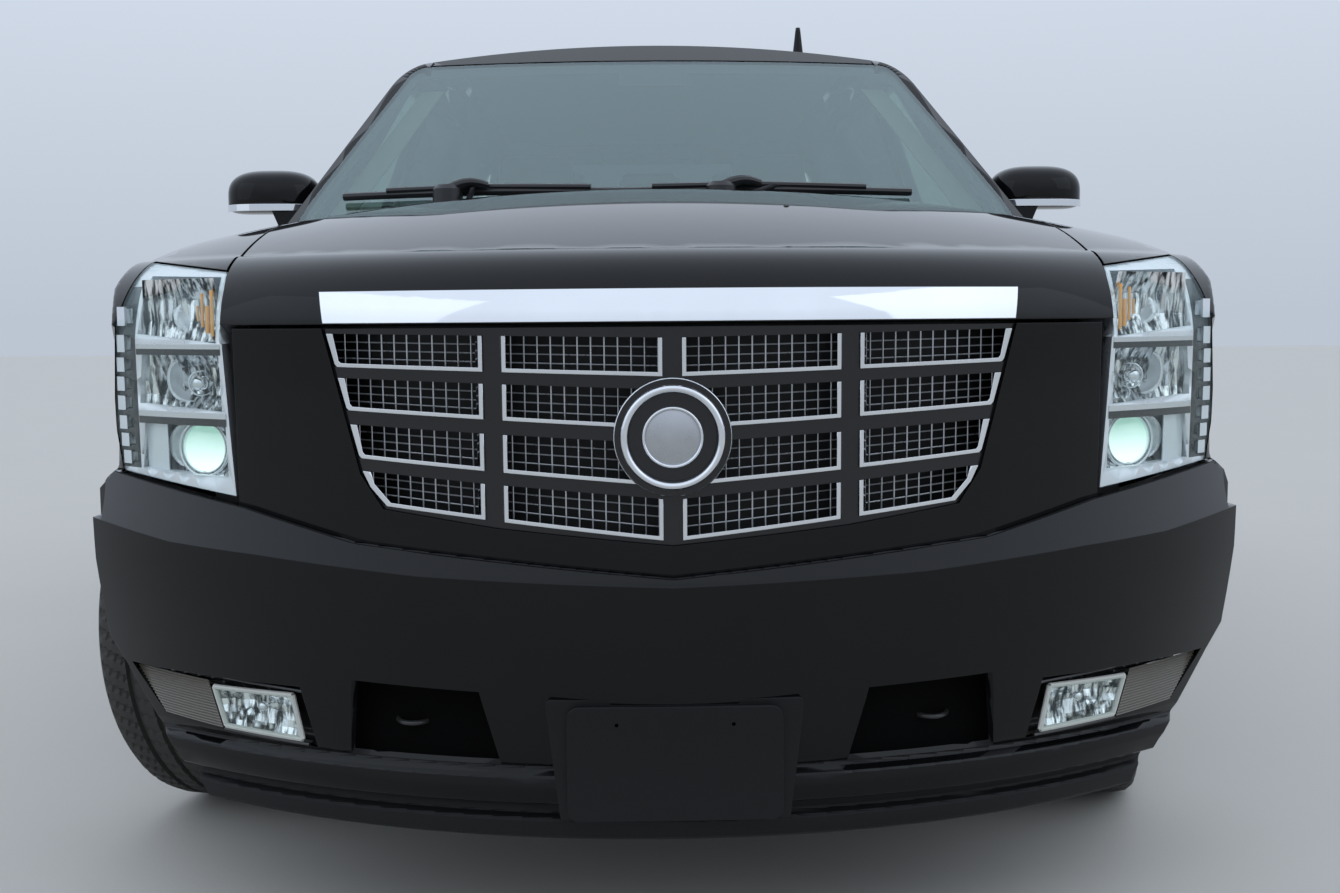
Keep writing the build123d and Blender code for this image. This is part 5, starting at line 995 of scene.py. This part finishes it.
def pad(centre, half, lean=0.0, crown=0.10, bolsters=0.62, channels=0):
    """A crowned pad of half sizes (x, y, z), thick along z, turned back about X by lean."""
    v, u = np.meshgrid(np.linspace(-math.pi, math.pi, 97)[:-1], np.linspace(-math.pi / 2, math.pi / 2, 41),
                       indexing="ij")
    squareness = 0.34
    flat_x = power(np.cos(u), squareness) * power(np.cos(v), squareness)
    flat_y = power(np.cos(u), squareness) * power(np.sin(v), squareness)
    thick = power(np.sin(u), squareness)
    puff = 1 + crown * (1 - flat_x ** 2) * (1 - flat_y ** 2)
    seam = np.exp(-((np.abs(flat_x) - bolsters) / 0.03) ** 2)
    if channels:
        stripe = np.abs((flat_y * channels / 2 + 0.5) % 1.0 - 0.5) * 2 / channels
        seam = np.maximum(seam, np.exp(-(stripe / 0.03) ** 2) * (np.abs(flat_x) < bolsters))
    z = half[2] * (thick * puff - np.sign(thick) * 0.006 / half[2] * seam * (np.abs(thick) > 0.5))
    x, y = half[0] * flat_x, half[1] * flat_y
    c, s = math.cos(lean), math.sin(lean)
    points = np.stack([x + centre[0], y * c - z * s + centre[1], y * s + z * c + centre[2]], axis=-1)
    return points.reshape(-1, 3), grid_faces(96, 41, True, False)


SEAT_ROWS = (
    # row, x0, x1, front y, floor z, seats side by side
    ("front_left", 0.130, 0.640, -0.420, 0.622, 1),
    ("front_right", -0.640, -0.130, -0.420, 0.622, 1),
    ("second_row", -0.610, 0.610, 0.350, 0.622, 3),
    ("third_row", -0.600, 0.600, 1.290, 0.722, 3),
)
BACK_LEAN, HEAD_LEAN = math.radians(72), math.radians(84)
for row, x0, x1, y0, z0, count in SEAT_ROWS:
    pitch = (x1 - x0) / count
    pads = []
    for i in range(count):
        x = x0 + pitch * (i + 0.5)
        half = pitch / 2 - 0.004
        base_z = 0.155 if row != "second_row" else 0.165
        pads.append(pad((x, y0 + 0.275, z0 + base_z), (half, 0.262, 0.052), crown=0.12, channels=5))
        pads.append(pad((x, y0 + 0.655, z0 + 0.485), (half - 0.005, 0.292, 0.050), lean=BACK_LEAN, crown=0.12,
                        channels=5))
        pads.append(pad((x, y0 + 0.772, z0 + 0.850), (0.122, 0.070, 0.034), lean=HEAD_LEAN, crown=0.25, bolsters=2))
    seat = add_mesh("seat_" + row, pads, leather, "root", smooth_angle=60.0)
    if row == "front_left":
        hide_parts("seats")
    plinths = []
    for i in range(count):
        x = x0 + pitch * (i + 0.5)
        plinths.append(pad((x, y0 + 0.275, z0 + 0.055), (pitch / 2 - 0.03, 0.24, 0.046), crown=0.0, bolsters=2))
    add_mesh("seat_base_" + row, plinths, grained_plastic, "root", smooth_angle=60.0)


# Carpet: tufted lining, moulded to the floor pan and laid on it. The floor pan's own solid takes
# its finish.
carpet = finish_of("carpet", (0.02, 0.02, 0.02), (0.03, 0.03, 0.03), 0.95, grain=0.6, grain_size=1200)
dress("floor_pan", carpet)


# Chassis and running gear, seen from below and through the arches: welded steel sections in a
# dark coating, iron castings, bare steel shafts and pipes, and an alloy engine.
frame_coat = finish_of("frame_coating", (0.015, 0.015, 0.016), (0.03, 0.027, 0.024), 0.5, grain=0.2, grain_size=300.0)
cast_iron = finish_of("cast_iron", (0.09, 0.085, 0.08), (0.13, 0.11, 0.09), 0.6, metal=0.6, grain=0.4, grain_size=350.0)
alloy = finish_of("cast_alloy", (0.35, 0.35, 0.36), (0.45, 0.45, 0.46), 0.4, metal=0.9, grain=0.3, grain_size=350.0)
bare_steel = finish_of("bare_steel", (0.35, 0.34, 0.33), (0.45, 0.43, 0.41), 0.35, metal=1.0)
for chassis_node in ("ladder_frame", "front_structure", "fuel_tank"):
    dress(chassis_node, frame_coat)
for cast_node in ("front_suspension", "rear_axle", "knuckle_left", "knuckle_right", "front_differential"):
    dress(cast_node, cast_iron)
for steel_node in ("driveline", "steering_rack", "exhaust"):
    dress(steel_node, bare_steel)
dress("engine", alloy)
